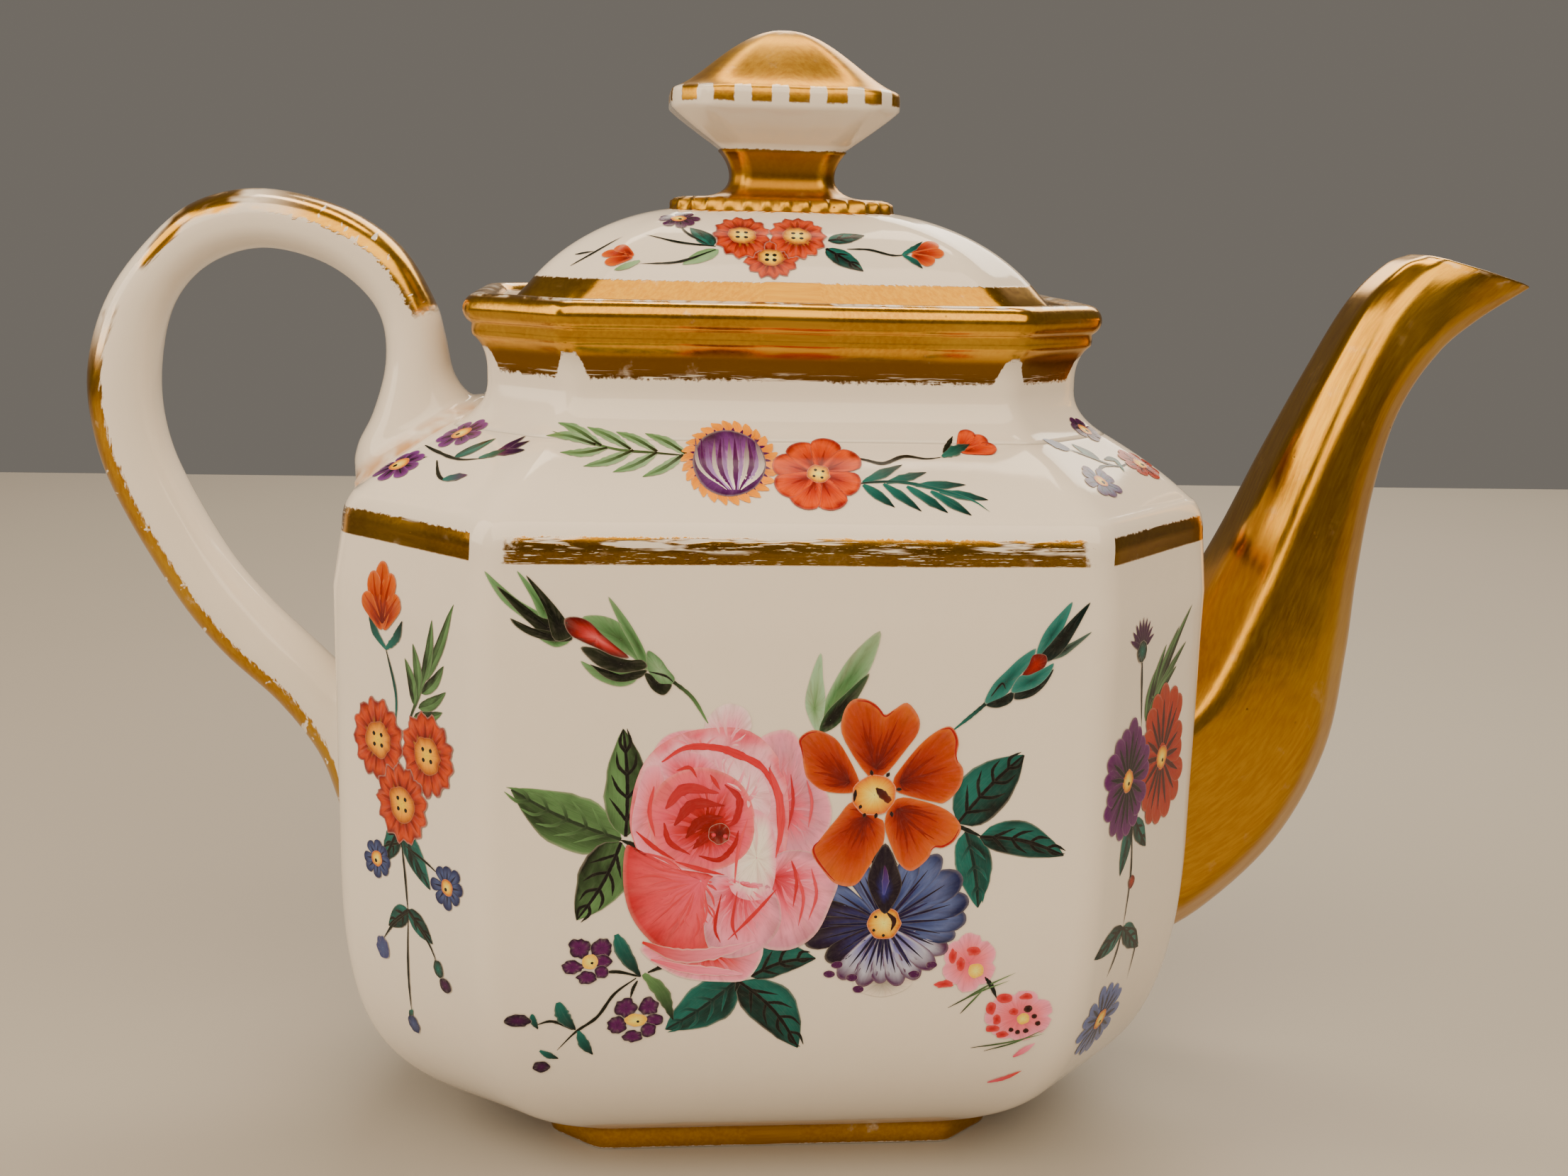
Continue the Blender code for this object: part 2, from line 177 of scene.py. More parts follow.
def octagon(plan, soft, corner=5, flat=7):
    """A closed outline from the middle of the back round to the front and back again.

    Each row is x, y, the length along the outline from the front middle, and the distance
    to the nearest corner. The last row repeats the first."""
    a, b, ca, cb, swell = plan
    end = a + swell
    corners = [(-(a - ca), b), (-end, b - cb), (-end, -(b - cb)), (-(a - ca), -b), (a - ca, -b),
               (a, -(b - cb)), (a, b - cb), (a - ca, b)]
    corners = [np.array(c) for c in corners]
    runs = []
    for i, c in enumerate(corners):
        back, ahead = corners[i - 1] - c, corners[(i + 1) % 8] - c
        reach = min(soft, 0.45 * np.linalg.norm(back), 0.45 * np.linalg.norm(ahead))
        start = c + back / np.linalg.norm(back) * reach
        stop = c + ahead / np.linalg.norm(ahead) * reach
        runs.append(bezier([start, c, stop], corner))
    middle = np.array([0.0, b])
    points = [middle + (runs[0][0] - middle) * k / flat for k in range(flat)]
    for i, run in enumerate(runs):
        points += run
        target = runs[i + 1][0] if i < 7 else middle
        steps = flat if i < 7 else flat + 1
        points += [run[-1] + (target - run[-1]) * k / flat for k in range(1, steps)]
    points = np.array(points)
    length = np.concatenate([[0], np.cumsum(np.linalg.norm(np.diff(points, axis=0), axis=1))])
    near = np.min([np.linalg.norm(points - c, axis=1) for c in corners], axis=0)
    return np.column_stack([points, length - length[-1] / 2, near])


def ring(plan, z, soft=1.4, flat=7):
    """Rows of x, y, z, and the outline length, profile height and corner distance for the gilding."""
    rows = octagon(plan, soft, flat=flat)
    level = np.full(len(rows), z)
    return np.column_stack([rows[:, :2], level, rows[:, 2], level, rows[:, 3]])


def oval(upper, lower, half_width, count, power):
    """A ring across the XZ plane. Lay: distance from the upper edge, and two parts to fill in."""
    upper, lower = np.array(upper, float), np.array(lower, float)
    along = (lower - upper) / np.linalg.norm(lower - upper)
    middle = (upper + lower) / 2
    half = np.linalg.norm(lower - upper) / 2
    rows = []
    for k in range(count + 1):
        angle = math.tau * k / count
        c, s = math.cos(angle), math.sin(angle)
        p = -math.copysign(abs(c) ** (2 / power), c) * half
        q = -math.copysign(abs(s) ** (2 / power), s) * half_width
        x, z = middle + along * p
        rows.append((x, q, z, p + half, 0.0, 0.0))
    return np.array(rows)


def chamfered(upper, lower, half_width, cut, taper, wall=0.0):
    """The spout's ring: a rectangle with softly rounded cut corners, across the XZ plane."""
    upper, lower = np.array(upper, float), np.array(lower, float)
    along = (lower - upper) / np.linalg.norm(lower - upper)
    middle = (upper + lower) / 2
    half = np.linalg.norm(lower - upper) / 2
    plan = inset(np.array([half, half_width, cut, cut, 0.0]), wall)
    flat = octagon(plan, soft=0.38 * cut, corner=4, flat=5)
    narrow = 1 - taper * np.clip(flat[:, 0] / half, 0, None)
    return np.column_stack([middle[0] + along[0] * flat[:, 0], flat[:, 1] * narrow,
                            middle[1] + along[1] * flat[:, 0], flat[:, 2], flat[:, 3],
                            flat[:, 0] + half])


def skin(name, rings, closed=False, caps=False):
    """A smooth mesh through rings. Each face corner carries its lay: three lengths in mm."""
    data = np.array(rings, float)
    count, around = data.shape[0], data.shape[1] - 1
    verts = (data[:, :-1, :3].reshape(-1, 3) + np.array(ORIGIN)) * MM
    faces, lays = [], []
    rows = [(i, (i + 1) % count) for i in range(count if closed else count - 1)]
    for i, i2 in rows:
        for j in range(around):
            j2 = (j + 1) % around
            faces.append((i * around + j, i * around + j2, i2 * around + j2, i2 * around + j))
            lays += [data[i, j, 3:], data[i, j + 1, 3:], data[i2, j + 1, 3:], data[i2, j, 3:]]
    if caps:
        for i, order in ((0, -1), (count - 1, 1)):
            loop = list(range(i * around, (i + 1) * around))[::order]
            faces.append(tuple(loop))
            lays += [data[i, j % around, 3:] for j in range(around)][::order]
    mesh = bpy.data.meshes.new(name)
    mesh.from_pydata(verts.tolist(), [], faces)
    layer = mesh.attributes.new("lay", "FLOAT_VECTOR", "CORNER")
    layer.data.foreach_set("vector", np.array(lays, np.float32).ravel())
    mesh.shade_smooth()
    ob = bpy.data.objects.new(name, mesh)
    bpy.context.collection.objects.link(ob)
    face_out(mesh)
    return ob


def face_out(mesh):
    """Turns all the faces so that the closed volume counts as positive."""
    volume = 0.0
    for poly in mesh.polygons:
        a = mesh.vertices[poly.vertices[0]].co
        for k in range(1, len(poly.vertices) - 1):
            b, c = (mesh.vertices[poly.vertices[k + s]].co for s in (0, 1))
            volume += a.dot(b.cross(c))
    if volume < 0:
        mesh.flip_normals()


def uneven(rings, amount, size):
    """Moves points by a soft noise, so that a flat wall looks thrown by hand."""
    for rows in rings:
        for row in rows[:-1]:
            push = noise.noise_vector(Vector(row[:3]) / size) * amount
            row[:3] += push
        rows[-1, :3] = rows[0, :3]
    return rings


# --- materials ------------------------------------------------------------------
class Shade:
    """Builds the nodes of one material."""

    def __init__(self, name):
        self.material = bpy.data.materials.new(name)
        self.material.use_nodes = True
        self.tree = self.material.node_tree
        self.shader = self.tree.nodes["Principled BSDF"]

    def node(self, kind, inputs=(), **settings):
        made = self.tree.nodes.new(kind)
        for key, value in settings.items():
            setattr(made, key, value)
        for socket, value in dict(inputs).items():
            self.feed(made.inputs[socket], value)
        return made

    def feed(self, socket, value):
        if isinstance(value, bpy.types.NodeSocket):
            self.tree.links.new(value, socket)
        else:
            socket.default_value = value

    def math(self, operation, a, b=0.0, clamp=False):
        return self.node("ShaderNodeMath", {0: a, 1: b}, operation=operation,
                         use_clamp=clamp).outputs[0]

    def times(self, a, b, clamp=False):
        return self.math("MULTIPLY", a, b, clamp)

    def plus(self, a, b):
        return self.math("ADD", a, b)

    def minus(self, a, b):
        return self.math("SUBTRACT", a, b)

    def rest(self, share):
        """What a share leaves of 1."""
        return self.minus(1.0, share)

    def ragged(self, streak, width):
        """The wander of a brushed edge, by half the width either way."""
        return self.times(self.minus(streak, 0.5), width)

    def step(self, value, low, high):
        """0 below low, 1 above high, and a smooth rise between."""
        inputs = {"Value": value, "From Min": low, "From Max": high}
        return self.node("ShaderNodeMapRange", inputs, interpolation_type="SMOOTHSTEP").outputs[0]

    def spread(self, value, low, high):
        """Stretches 0 to 1 to low to high."""
        inputs = {"Value": value, "To Min": low, "To Max": high}
        return self.node("ShaderNodeMapRange", inputs).outputs[0]

    def either(self, share, a, b):
        return self.node("ShaderNodeMix", {0: share, 2: a, 3: b}, data_type="FLOAT").outputs[0]

    def between(self, value, low, high, edge):
        up = self.step(value, low - edge, low + edge)
        down = self.step(value, high - edge, high + edge)
        return self.math("SUBTRACT", up, down, clamp=True)

    def mix(self, share, a, b):
        made = self.node("ShaderNodeMix", data_type="RGBA")
        self.feed(made.inputs[0], share)
        self.feed(made.inputs[6], a)
        self.feed(made.inputs[7], b)
        return made.outputs[2]

    def noise(self, vector, scale, detail=2.0, roughness=0.5):
        inputs = {"Vector": vector, "Scale": scale, "Detail": detail, "Roughness": roughness}
        return self.node("ShaderNodeTexNoise", inputs).outputs[0]

    def stretch(self, vector, factors):
        return self.node("ShaderNodeVectorMath", {0: vector, 1: factors},
                         operation="MULTIPLY").outputs[0]

    def place(self):
        return self.node("ShaderNodeTexCoord").outputs["Object"]

    def attribute(self, name):
        return self.node("ShaderNodeAttribute", attribute_name=name).outputs["Vector"]

    def lay(self):
        """The lay of the skin and its three parts, in mm."""
        vector = self.attribute("lay")
        parts = self.node("ShaderNodeSeparateXYZ", {0: vector}).outputs
        return vector, parts[0], parts[1], parts[2]

    def bump(self, height, strength, distance, normal=None):
        inputs = {"Height": height, "Strength": strength, "Distance": distance}
        if normal is not None:
            inputs["Normal"] = normal
        return self.node("ShaderNodeBump", inputs).outputs[0]

    def finish(self, inputs):
        """Feeds the shader's sockets and hands over the material."""
        for socket, value in inputs.items():
            self.feed(self.shader.inputs[socket], value)
        return self.material


def rgba(colour):
    return (*colour, 1.0)


def glaze(shade, stain=None):
    """Colour, roughness and bump of the creamy glaze, with specks and pinholes."""
    place = shade.place()
    cloud = shade.noise(place, 60.0, 3.0)
    colour = shade.mix(cloud, rgba(PORCELAIN), rgba((0.76, 0.69, 0.60)))
    fine = shade.noise(place, 900.0, 2.0)
    colour = shade.mix(shade.times(fine, 0.25), colour, rgba((0.83, 0.79, 0.73)))
    cells = shade.node("ShaderNodeTexVoronoi", {"Vector": place, "Scale": 210.0})
    red = shade.node("ShaderNodeSeparateColor", {0: cells.outputs["Color"]}).outputs[0]
    rare = shade.math("GREATER_THAN", red, 0.80)
    speck = shade.times(rare, shade.rest(shade.step(cells.outputs["Distance"], 0.014, 0.035)))
    colour = shade.mix(shade.times(speck, 0.75), colour, rgba((0.22, 0.15, 0.09)))
    if stain is not None:
        colour = shade.mix(stain, colour, rgba((0.55, 0.25, 0.06)))
    rough = shade.spread(cloud, 0.055, 0.12)
    wave = shade.noise(place, 170.0, 2.0)
    normal = shade.bump(wave, 0.35, 0.00012)
    normal = shade.bump(shade.plus(fine, shade.times(speck, -3.0)), 0.10, 0.00004, normal)
    return colour, rough, normal


def brushed(shade, vector, along):
    """Streaks that a loaded brush leaves, drawn out along one part of the lay."""
    factors = [3.2, 3.2, 3.2]
    factors[along] = 0.22
    return shade.noise(shade.stretch(vector, tuple(factors)), 1.0, 4.0, 0.6)


def gilt_over_glaze(name, cover, along=0, stain=None, wear=0.5, painted_shade=None, satin=0.0):
    """A glaze with gold where cover(shade, lay vector, u, v, w, streak) is 1.

    The brush ran along that part of the lay, stain is a mask for rust, the shade mask paints
    shade into the gold as darker gold where its reflection falls dark, wear is how much is rubbed
    off, and satin makes the gold rougher."""
    shade = Shade(name)
    vector, u, v, w = shade.lay()
    streak = brushed(shade, vector, along)
    mask = cover(shade, vector, u, v, w, streak)
    stain_mask = stain(shade, vector, u, v, w) if stain else None
    colour, rough, normal = glaze(shade, stain_mask)
    place = shade.place()
    patch = shade.noise(place, 420.0, 4.0, 0.65)
    deep = tuple(c * d for c, d in zip(GOLD, (0.80, 0.70, 0.55)))
    gold = shade.mix(shade.step(streak, 0.30, 0.72), rgba(deep), rgba(GOLD))
    wide = shade.noise(place, 90.0, 3.0)
    gold = shade.mix(shade.times(shade.step(wide, 0.45, 0.70), 0.35), gold, rgba((0.70, 0.42, 0.05)))
    # painted shade: the gold darkened towards deep brown where its reflection falls dark
    if painted_shade is not None:
        gold = shade.mix(painted_shade(shade, v, w), gold, rgba(SHADED_GOLD))
    pits = shade.node("ShaderNodeTexVoronoi", {"Vector": place, "Scale": 1100.0})
    pit = shade.rest(shade.step(pits.outputs["Distance"], 0.05, 0.14))
    some = shade.step(shade.noise(place, 260.0, 2.0), 0.60, 0.70)
    pit = shade.times(pit, some)
    gold = shade.mix(shade.times(pit, 0.8), gold, rgba((0.10, 0.045, 0.01)))
    rub = shade.times(shade.step(patch, 0.60, 0.80), wear)
    mask = shade.times(mask, shade.rest(rub), clamp=True)
    gold_rough = shade.spread(streak, 0.13 + satin, 0.22 + satin)
    gold_rough = shade.plus(gold_rough, shade.times(shade.step(wide, 0.35, 0.75), 0.05))
    gold_rough = shade.plus(gold_rough, shade.times(pit, 0.3))
    height = shade.plus(shade.times(streak, 0.45), shade.times(patch, 0.10))
    height = shade.minus(height, shade.times(pit, 0.5))
    raised = shade.times(shade.plus(height, 0.6), mask)
    normal = shade.bump(raised, 0.16, 0.00006, normal)
    rough_mix = shade.either(mask, rough, gold_rough)
    return shade.finish({"Base Color": shade.mix(mask, colour, gold),
                         "Metallic": shade.times(mask, 0.97), "Roughness": rough_mix, "Normal": normal})


def evenly_shaded(share):
    """The same share of painted shade, darker gold, all over."""
    return lambda shade, v, w: share


def enamel():
    """Painted enamel: the stroke's own colour with fine bristle streaks along it."""
    shade = Shade("painted_enamel")
    vector = shade.attribute("lay")
    colour = shade.node("ShaderNodeAttribute", attribute_name="enamel").outputs["Color"]
    place = shade.place()
    streak = shade.noise(shade.stretch(vector, (0.8, 9.0, 1.0)), 1.0, 4.0, 0.65)
    cloud = shade.noise(place, 2600.0, 3.0, 0.6)
    shadow = shade.times(shade.step(streak, 0.55, 0.30), 0.45)
    light = shade.times(shade.step(streak, 0.50, 0.75), 0.02)
    shown = shade.mix(shadow, colour, shade.stretch(colour, (0.62, 0.55, 0.55)))
    shown = shade.mix(light, shown, rgba(PORCELAIN))
    shown = shade.mix(shade.times(shade.step(cloud, 0.45, 0.75), 0.012), shown, rgba(PORCELAIN))
    rough = shade.spread(streak, 0.10, 0.22)
    wave = shade.noise(place, 170.0, 2.0)
    normal = shade.bump(wave, 0.35, 0.00012)
    normal = shade.bump(streak, 0.12, 0.00003, normal)
    return shade.finish({"Base Color": shown, "Specular IOR Level": 0.27, "Roughness": rough,
                         "Normal": normal})


# --- the pot's skins ------------------------------------------------------------
SHOULDER = bezier([(ARRIS[0], ARRIS_Z), (28.3, 52.7), (NECK_FOOT[0], SHOULDER_TOP)], 26)


def body_outside():
    """Plans and heights of the outside, from under the foot's edge to under the neck."""
    low = bezier([(*SEAT, 2.0), (*HEEL, 5.6), (*BELLY, 8.1), (*BELLY, 24.9)], 34)
    rows = [(row[:-1], row[-1]) for row in low]
    rows += [(BELLY, z) for z in (27, 29.5, 32, 34.5, 37, 39.5, 42, 43.5)]
    rows += [(BELLY + (ARRIS - BELLY) * t, 43.5 + 4.7 * t) for t in (0.25, 0.5, 0.75, 0.9)]
    bend = bezier([(ARRIS[0] + 0.03, 48.2), (ARRIS[0] - 0.02, 49.35), (30.75, 50.25)], 8)
    rest = [p for p in SHOULDER if 24.0 < p[0] < 30.6]
    rows += [(between(ARRIS, NECK_FOOT, x), z) for x, z in bend + rest]
    return rows


def make_body():
    rings = uneven([ring(plan, z) for plan, z in body_outside()], *HAND)
    top = inset(NECK_FOOT, 2.5)
    wide = inset(ARRIS, WALL)
    inner = bezier([(top[0], SHOULDER_TOP), (25.9, 52.0), (wide[0], 48.2)], 8)
    rings += [ring(between(top, wide, x), z) for x, z in inner]
    belly, heel = inset(BELLY, WALL), inset(HEEL, WALL)
    low = bezier([(*belly, 24.9), (*belly, 10.5), (*heel, 8.0), (*FLOOR, 4.5)], 12)
    rings += [ring(row[:-1], row[-1]) for row in low]
    body = skin("body_porcelain", rings, caps=True)
    # painted shade: the band's gold darkened evenly, standing in for its dark reflection
    body.data.materials.append(gilt_over_glaze("body_glaze", arris_gold, wear=0.35, painted_shade=evenly_shaded(0.45)))
    return body


def arris_gold(shade, vector, u, v, w, streak):
    """The brushed band under the shoulder: bare at the corners, dry and broken on the front."""
    ragged = shade.ragged(streak, 0.5)
    height = shade.plus(v, ragged)
    crisp = shade.plus(v, shade.times(ragged, 0.2))
    low = shade.step(crisp, 47.36, 47.48)
    high = shade.rest(shade.step(height, 49.19, 49.31))
    band = shade.times(low, high)
    lift = shade.noise(shade.stretch(vector, (0.35, 0.35, 0.35)), 1.0, 2.0)
    ends = shade.plus(w, shade.times(shade.minus(lift, 0.5), 3.0))
    ends = shade.plus(ends, shade.times(ragged, 3.0))
    front = shade.math("LESS_THAN", shade.math("ABSOLUTE", u), 22.0)
    start = shade.either(front, 0.35, 1.9)
    open_ends = shade.step(shade.minus(ends, start), -0.35, 0.35)
    dry = shade.noise(shade.stretch(vector, (0.16, 1.4, 0.1)), 1.0, 3.0)
    upper = shade.step(v, 48.0, 48.45)
    gap = shade.times(shade.step(dry, 0.53, 0.60), upper)
    gap = shade.times(gap, front)
    kept = shade.rest(shade.times(gap, 0.95))
    bristle = shade.noise(shade.stretch(vector, (0.5, 9.0, 0.1)), 1.0, 3.0, 0.7)
    dry_line = shade.rest(shade.times(shade.step(bristle, 0.59, 0.65), front))
    mask = shade.times(band, open_ends)
    return shade.times(mask, shade.times(kept, dry_line))


def make_neck():
    """Fillet from the shoulder, cove, strip, bead, gallery and the inside."""
    before, last = [p for p in SHOULDER if p[0] > 24.0][-2:]
    shoulder = ring(between(ARRIS, NECK_FOOT, last[0]), last[1])
    slope = (last[1] - before[1]) / (last[0] - before[0])
    knee = ring(between(ARRIS, NECK_FOOT, NECK[0]), last[1] + slope * (NECK[0] - last[0]), 1.2)
    upright = ring(NECK, 58.0, 1.0)
    rings = []
    steps = 10
    for k in range(steps + 1):
        t = k / steps
        rings.append((1 - t) ** 2 * shoulder + 2 * t * (1 - t) * knee + t * t * upright)
        rings[-1][:, 4] = rings[-1][:, 2]
    section = [(0.0, 58.3), (0.0, 58.6)] + bezier([(0.0, 59.0), (0.05, 60.6), (1.0, 61.4)], 8)
    section += [(1.03, 61.5), (1.06, 61.72)]
    section += arc((0.5, 63.25), 1.15, -62, 165, 22)
    section += [(-0.62, 62.97), (-0.75, 62.9), (-2.8, 62.9), (-2.95, 62.8), (-2.95, 61.9),
                (-2.75, 61.7)]
    section += [(-1.95, 60.6), (-1.95, 54.6), (0.4, 54.0)]
    rings += [ring(inset(NECK, -out), z, 1.0) for out, z in section]
    for rows, (out, _) in zip(rings[steps + 1:], section):
        if out < -0.5:
            rows[:, 4] = 70.0 - out  # inside the gallery, past the end of the gold
    neck = skin("neck_and_rim", uneven(rings, *HAND), closed=True)

    # painted shade: the cove's lower half darkened, where its gold reflects the dark shoulder and wall
    # below
    def shaded_low_half(shade, v, w):
        return shade.times(shade.rest(shade.step(v, 60.2, 61.2)), 0.92)

    neck.data.materials.append(gilt_over_glaze("rim_gilding", rim_gold, wear=0.5, painted_shade=shaded_low_half))
    return neck


def rim_gold(shade, vector, u, v, w, streak):
    """Gold from the cove to the top of the bead; its lower edge is brushy and lifts at corners."""
    ragged = shade.ragged(streak, 0.9)
    corner = shade.times(shade.rest(shade.step(w, 0.5, 1.5)), 1.7)
    height = shade.minus(shade.plus(v, ragged), corner)
    low = shade.step(height, 58.75, 59.0)
    top = shade.rest(shade.step(v, 69.0, 69.3))
    bristle = shade.noise(shade.stretch(vector, (0.22, 6.0, 0.1)), 1.0, 3.0, 0.7)
    dry = shade.times(shade.step(bristle, 0.54, 0.62), shade.rest(shade.step(v, 59.0, 59.7)))
    worn = shade.noise(shade.stretch(vector, (0.6, 1.5, 0.5)), 1.0, 3.0)
    crest = shade.times(shade.step(v, 64.12, 64.30), shade.step(worn, 0.42, 0.60))
    bare = shade.rest(shade.math("MAXIMUM", shade.times(dry, 0.9), shade.times(crest, 0.8)))
    return shade.times(shade.times(low, top), bare)


def make_foot():
    section = [(-2.2, 2.3), (-2.1, 0.4), (-1.9, 0.08), (-1.7, 0.0), (-0.45, 0.0), (-0.2, 0.06),
               (-0.06, 0.2), (0.0, 0.42), (0.0, 0.8), (0.0, 1.2), (0.0, 1.55), (0.06, 1.85),
               (0.3, 2.15), (0.2, 2.6), (-1.2, 2.6)]
    rings = [ring(inset(FOOT, -out), z, 0.8) for out, z in section]
    for rows, (out, _) in zip(rings, section):
        if out < -1.0:
            rows[:, 4] = -3.0  # the inner side, clear of the gold
    foot = skin("foot_gilt", uneven(rings, 0.04, 6.0), closed=True)

    def foot_gold(shade, vector, u, v, w, streak):
        ragged = shade.ragged(streak, 0.35)
        height = shade.plus(v, ragged)
        return shade.between(height, 0.2, 1.93, 0.07)

    foot.data.materials.append(gilt_over_glaze("foot_gilding", foot_gold, wear=0.5))
    return foot


def flare(rings, axis_points, tree, radius):
    """Widens a tube in a fillet where it runs into another skin."""
    for rows, axis in zip(rings, axis_points):
        for row in rows:
            point = in_frame(row[:3])
            hit, normal, _, _ = tree.find_nearest(point)
            if hit is None:
                continue
            depth = (point - hit).dot(normal) / MM
            share = 1 - max(0.0, min(1.0, depth / radius))
            if share <= 0:
                continue
            out = Vector(row[:3]) - Vector(axis)
            out -= normal * out.dot(normal)
            if out.length < 1e-6:
                continue
            push = radius * (1 - math.sqrt(max(0.0, 1 - share * share)))
            row[:3] += out.normalized() * push
    return rings


def clearances(rings, tree):
    """Replaces the middle lay of each point by its distance from the other skin, in mm."""
    for rows in rings:
        for row in rows:
            row[4] = tree.find_nearest(in_frame(row[:3]))[3] / MM
    return rings


def make_handle(tree):
    """Lay: u from the back edge, v the clearance from the body, w the run from the upper root."""
    rows = [(*outer, *inner, width) for outer, inner, width in HANDLE]
    path = smooth_path(rows, 7)
    rings, axes, run, last = [], [], 0.0, None
    for ox, oz, ix, iz, width in path:
        made = oval((ox, oz), (ix, iz), width, 36, 2.35)
        middle = np.array([(ox + ix) / 2, 0.0, (oz + iz) / 2])
        run += 0.0 if last is None else float(np.linalg.norm(middle - last))
        last = middle
        made[:, 5] = run
        rings.append(made)
        axes.append(middle)
    rings = clearances(flare(rings, axes, tree, HANDLE_FILLET), tree)
    handle = skin("handle_porcelain", uneven(rings, 0.06, 6.0), caps=True)

    def stripe(shade, vector, u, v, w, streak):
        ragged = shade.ragged(streak, 1.1)
        edge = shade.rest(shade.step(shade.plus(u, ragged), 1.55, 1.75))
        start = shade.step(shade.plus(w, ragged), 12.6, 13.4)
        wipe = shade.noise(shade.stretch(vector, (0.5, 0.1, 0.16)), 1.0, 3.0, 0.6)
        top = shade.between(w, 25.0, 42.0, 2.5)
        gone = shade.times(shade.step(wipe, 0.36, 0.50), top)
        nicks = shade.step(shade.noise(shade.stretch(vector, (0.8, 0.1, 1.5)), 1.0, 2.0), 0.66, 0.72)
        kept = shade.rest(shade.math("MAXIMUM", gone, nicks))
        return shade.times(shade.times(edge, start), kept)

    def rust(shade, vector, u, v, w):
        near = shade.rest(shade.step(v, 0.05, 1.3))
        upper = shade.rest(shade.step(w, 12.0, 15.0))
        cloud = shade.step(shade.noise(vector, 0.5, 2.0), 0.35, 0.6)
        return shade.times(shade.times(near, upper), shade.times(cloud, 0.85))

    handle.data.materials.append(gilt_over_glaze("handle_glaze", stripe, along=2, stain=rust, wear=0.6))
    return handle


def make_spout(tree):
    """Lay: v is 0 to 100 along the outside, to 135 over the lip, and 200 to 140 along the bore."""
    rows = [(*upper, *lower, width, cut) for upper, lower, width, cut in SPOUT]
    path = smooth_path(rows, 7)
    outside, bore, axes = [], [], []
    for i, (ux, uz, lx, lz, width, cut) in enumerate(path):
        share = i / (len(path) - 1)
        taper = 0.55 * max(0.0, share - 0.8) / 0.2
        made = chamfered((ux, uz), (lx, lz), width, cut, taper)
        made[:, 4] = share * 100
        outside.append(made)
        axes.append(np.array([(ux + lx) / 2, 0.0, (uz + lz) / 2]))
        wall = WALL - 0.95 * share
        inner = chamfered((ux, uz), (lx, lz), width, cut, taper, wall)
        inner[:, 4] = 200.0 - share * 60
        bore.append(inner)
    lip = []
    outer_end, inner_end, before = outside[-1], bore[-1], outside[-3]
    forward = (outer_end - before)[:, :3].mean(axis=0)
    forward /= np.linalg.norm(forward)
    for k in range(1, 8):
        angle = math.pi * k / 8
        t = (1 - math.cos(angle)) / 2
        rows = outer_end * (1 - t) + inner_end * t
        rows[:, :3] += forward * 0.28 * math.sin(angle)
        rows[:, 4] = 100.0 + 35 * t
        lip.append(rows)
    outside = flare(outside, axes, tree, SPOUT_FILLET)
    spout = skin("spout_gilt", uneven(outside, 0.05, 9.0) + lip + bore[::-1], closed=True)

    def spout_gold(shade, vector, u, v, w, streak):
        worn = shade.noise(shade.stretch(vector, (0.5, 0.25, 0.5)), 1.0, 3.0)
        lip_worn = shade.times(shade.step(worn, 0.55, 0.7), shade.between(v, 99.0, 112.0, 3.0))
        inside = shade.rest(shade.step(v, 150.0, 158.0))
        return shade.times(inside, shade.rest(shade.times(lip_worn, 0.5)))

    spout.data.materials.append(gilt_over_glaze("spout_gilding", spout_gold, along=1, wear=0.10))
    return spout


# --- the lid's skins --------------------------------------------------------------
def make_lid():
    band = [(19.65, 63.2), (19.93, 63.35), (19.98, 63.6), (19.6, 64.2), (18.95, 64.9), (18.45, 65.5)]
    dome = bezier([(18.25, 65.7), (16.0, 68.2), (12.5, 70.0), (8.4, 70.6)], 26)
    top = [(7.0, 70.7), (4.0, 70.8)]
    outside = band + [tuple(p) for p in dome] + top
    rings = [ring(between(LID_EDGE, LID_TOP, x), z, 1.2) for x, z in outside]
    opening = inset(FLANGE, 1.4)
    under = bezier([(opening[0], 63.2), (15.6, 66.4), (11.5, 68.5), (LID_CROWN[0], 68.7)], 8)[::-1]
    inside = [ring(between(LID_CROWN, opening, x), z, 1.2) for x, z in under]
    flange = [(1.4, 62.9), (1.4, 59.2), (1.2, 59.03), (0.7, 58.97), (0.2, 59.03), (0.0, 59.3),
              (0.0, 60.5), (0.0, 62.9), (-0.05, 63.15)]
    inside += [ring(inset(FLANGE, depth), z, 0.9) for depth, z in flange]
    for rows in inside:
        rows[:, 4] = 90.0  # past the end of the gold
    lid = skin("lid_porcelain", uneven(rings, 0.05, 7.0) + inside, closed=True)

    def skirt_gold(shade, vector, u, v, w, streak):
        ragged = shade.ragged(streak, 0.45)
        height = shade.plus(v, ragged)
        band_mask = shade.between(height, 63.25, 65.62, 0.05)
        collar = shade.between(height, 70.52, 80.0, 0.04)
        return shade.math("MAXIMUM", band_mask, collar)

    # painted shade: the skirt's gold darkened evenly to tone down the front lamp's reflection
    lid.data.materials.append(gilt_over_glaze("lid_glaze", skirt_gold, wear=0.35, painted_shade=evenly_shaded(0.3)))
    return lid


def scalloped(rows, depth, pitch):
    """Lobes along an outline, about a pitch apart and this deep either way."""
    length = rows[-1, 3] - rows[0, 3]
    count = round(length / pitch)
    for row in rows:
        row[:2] *= 1 + depth * math.cos(math.tau * count * row[3] / length) / np.hypot(*row[:2])
    return rows


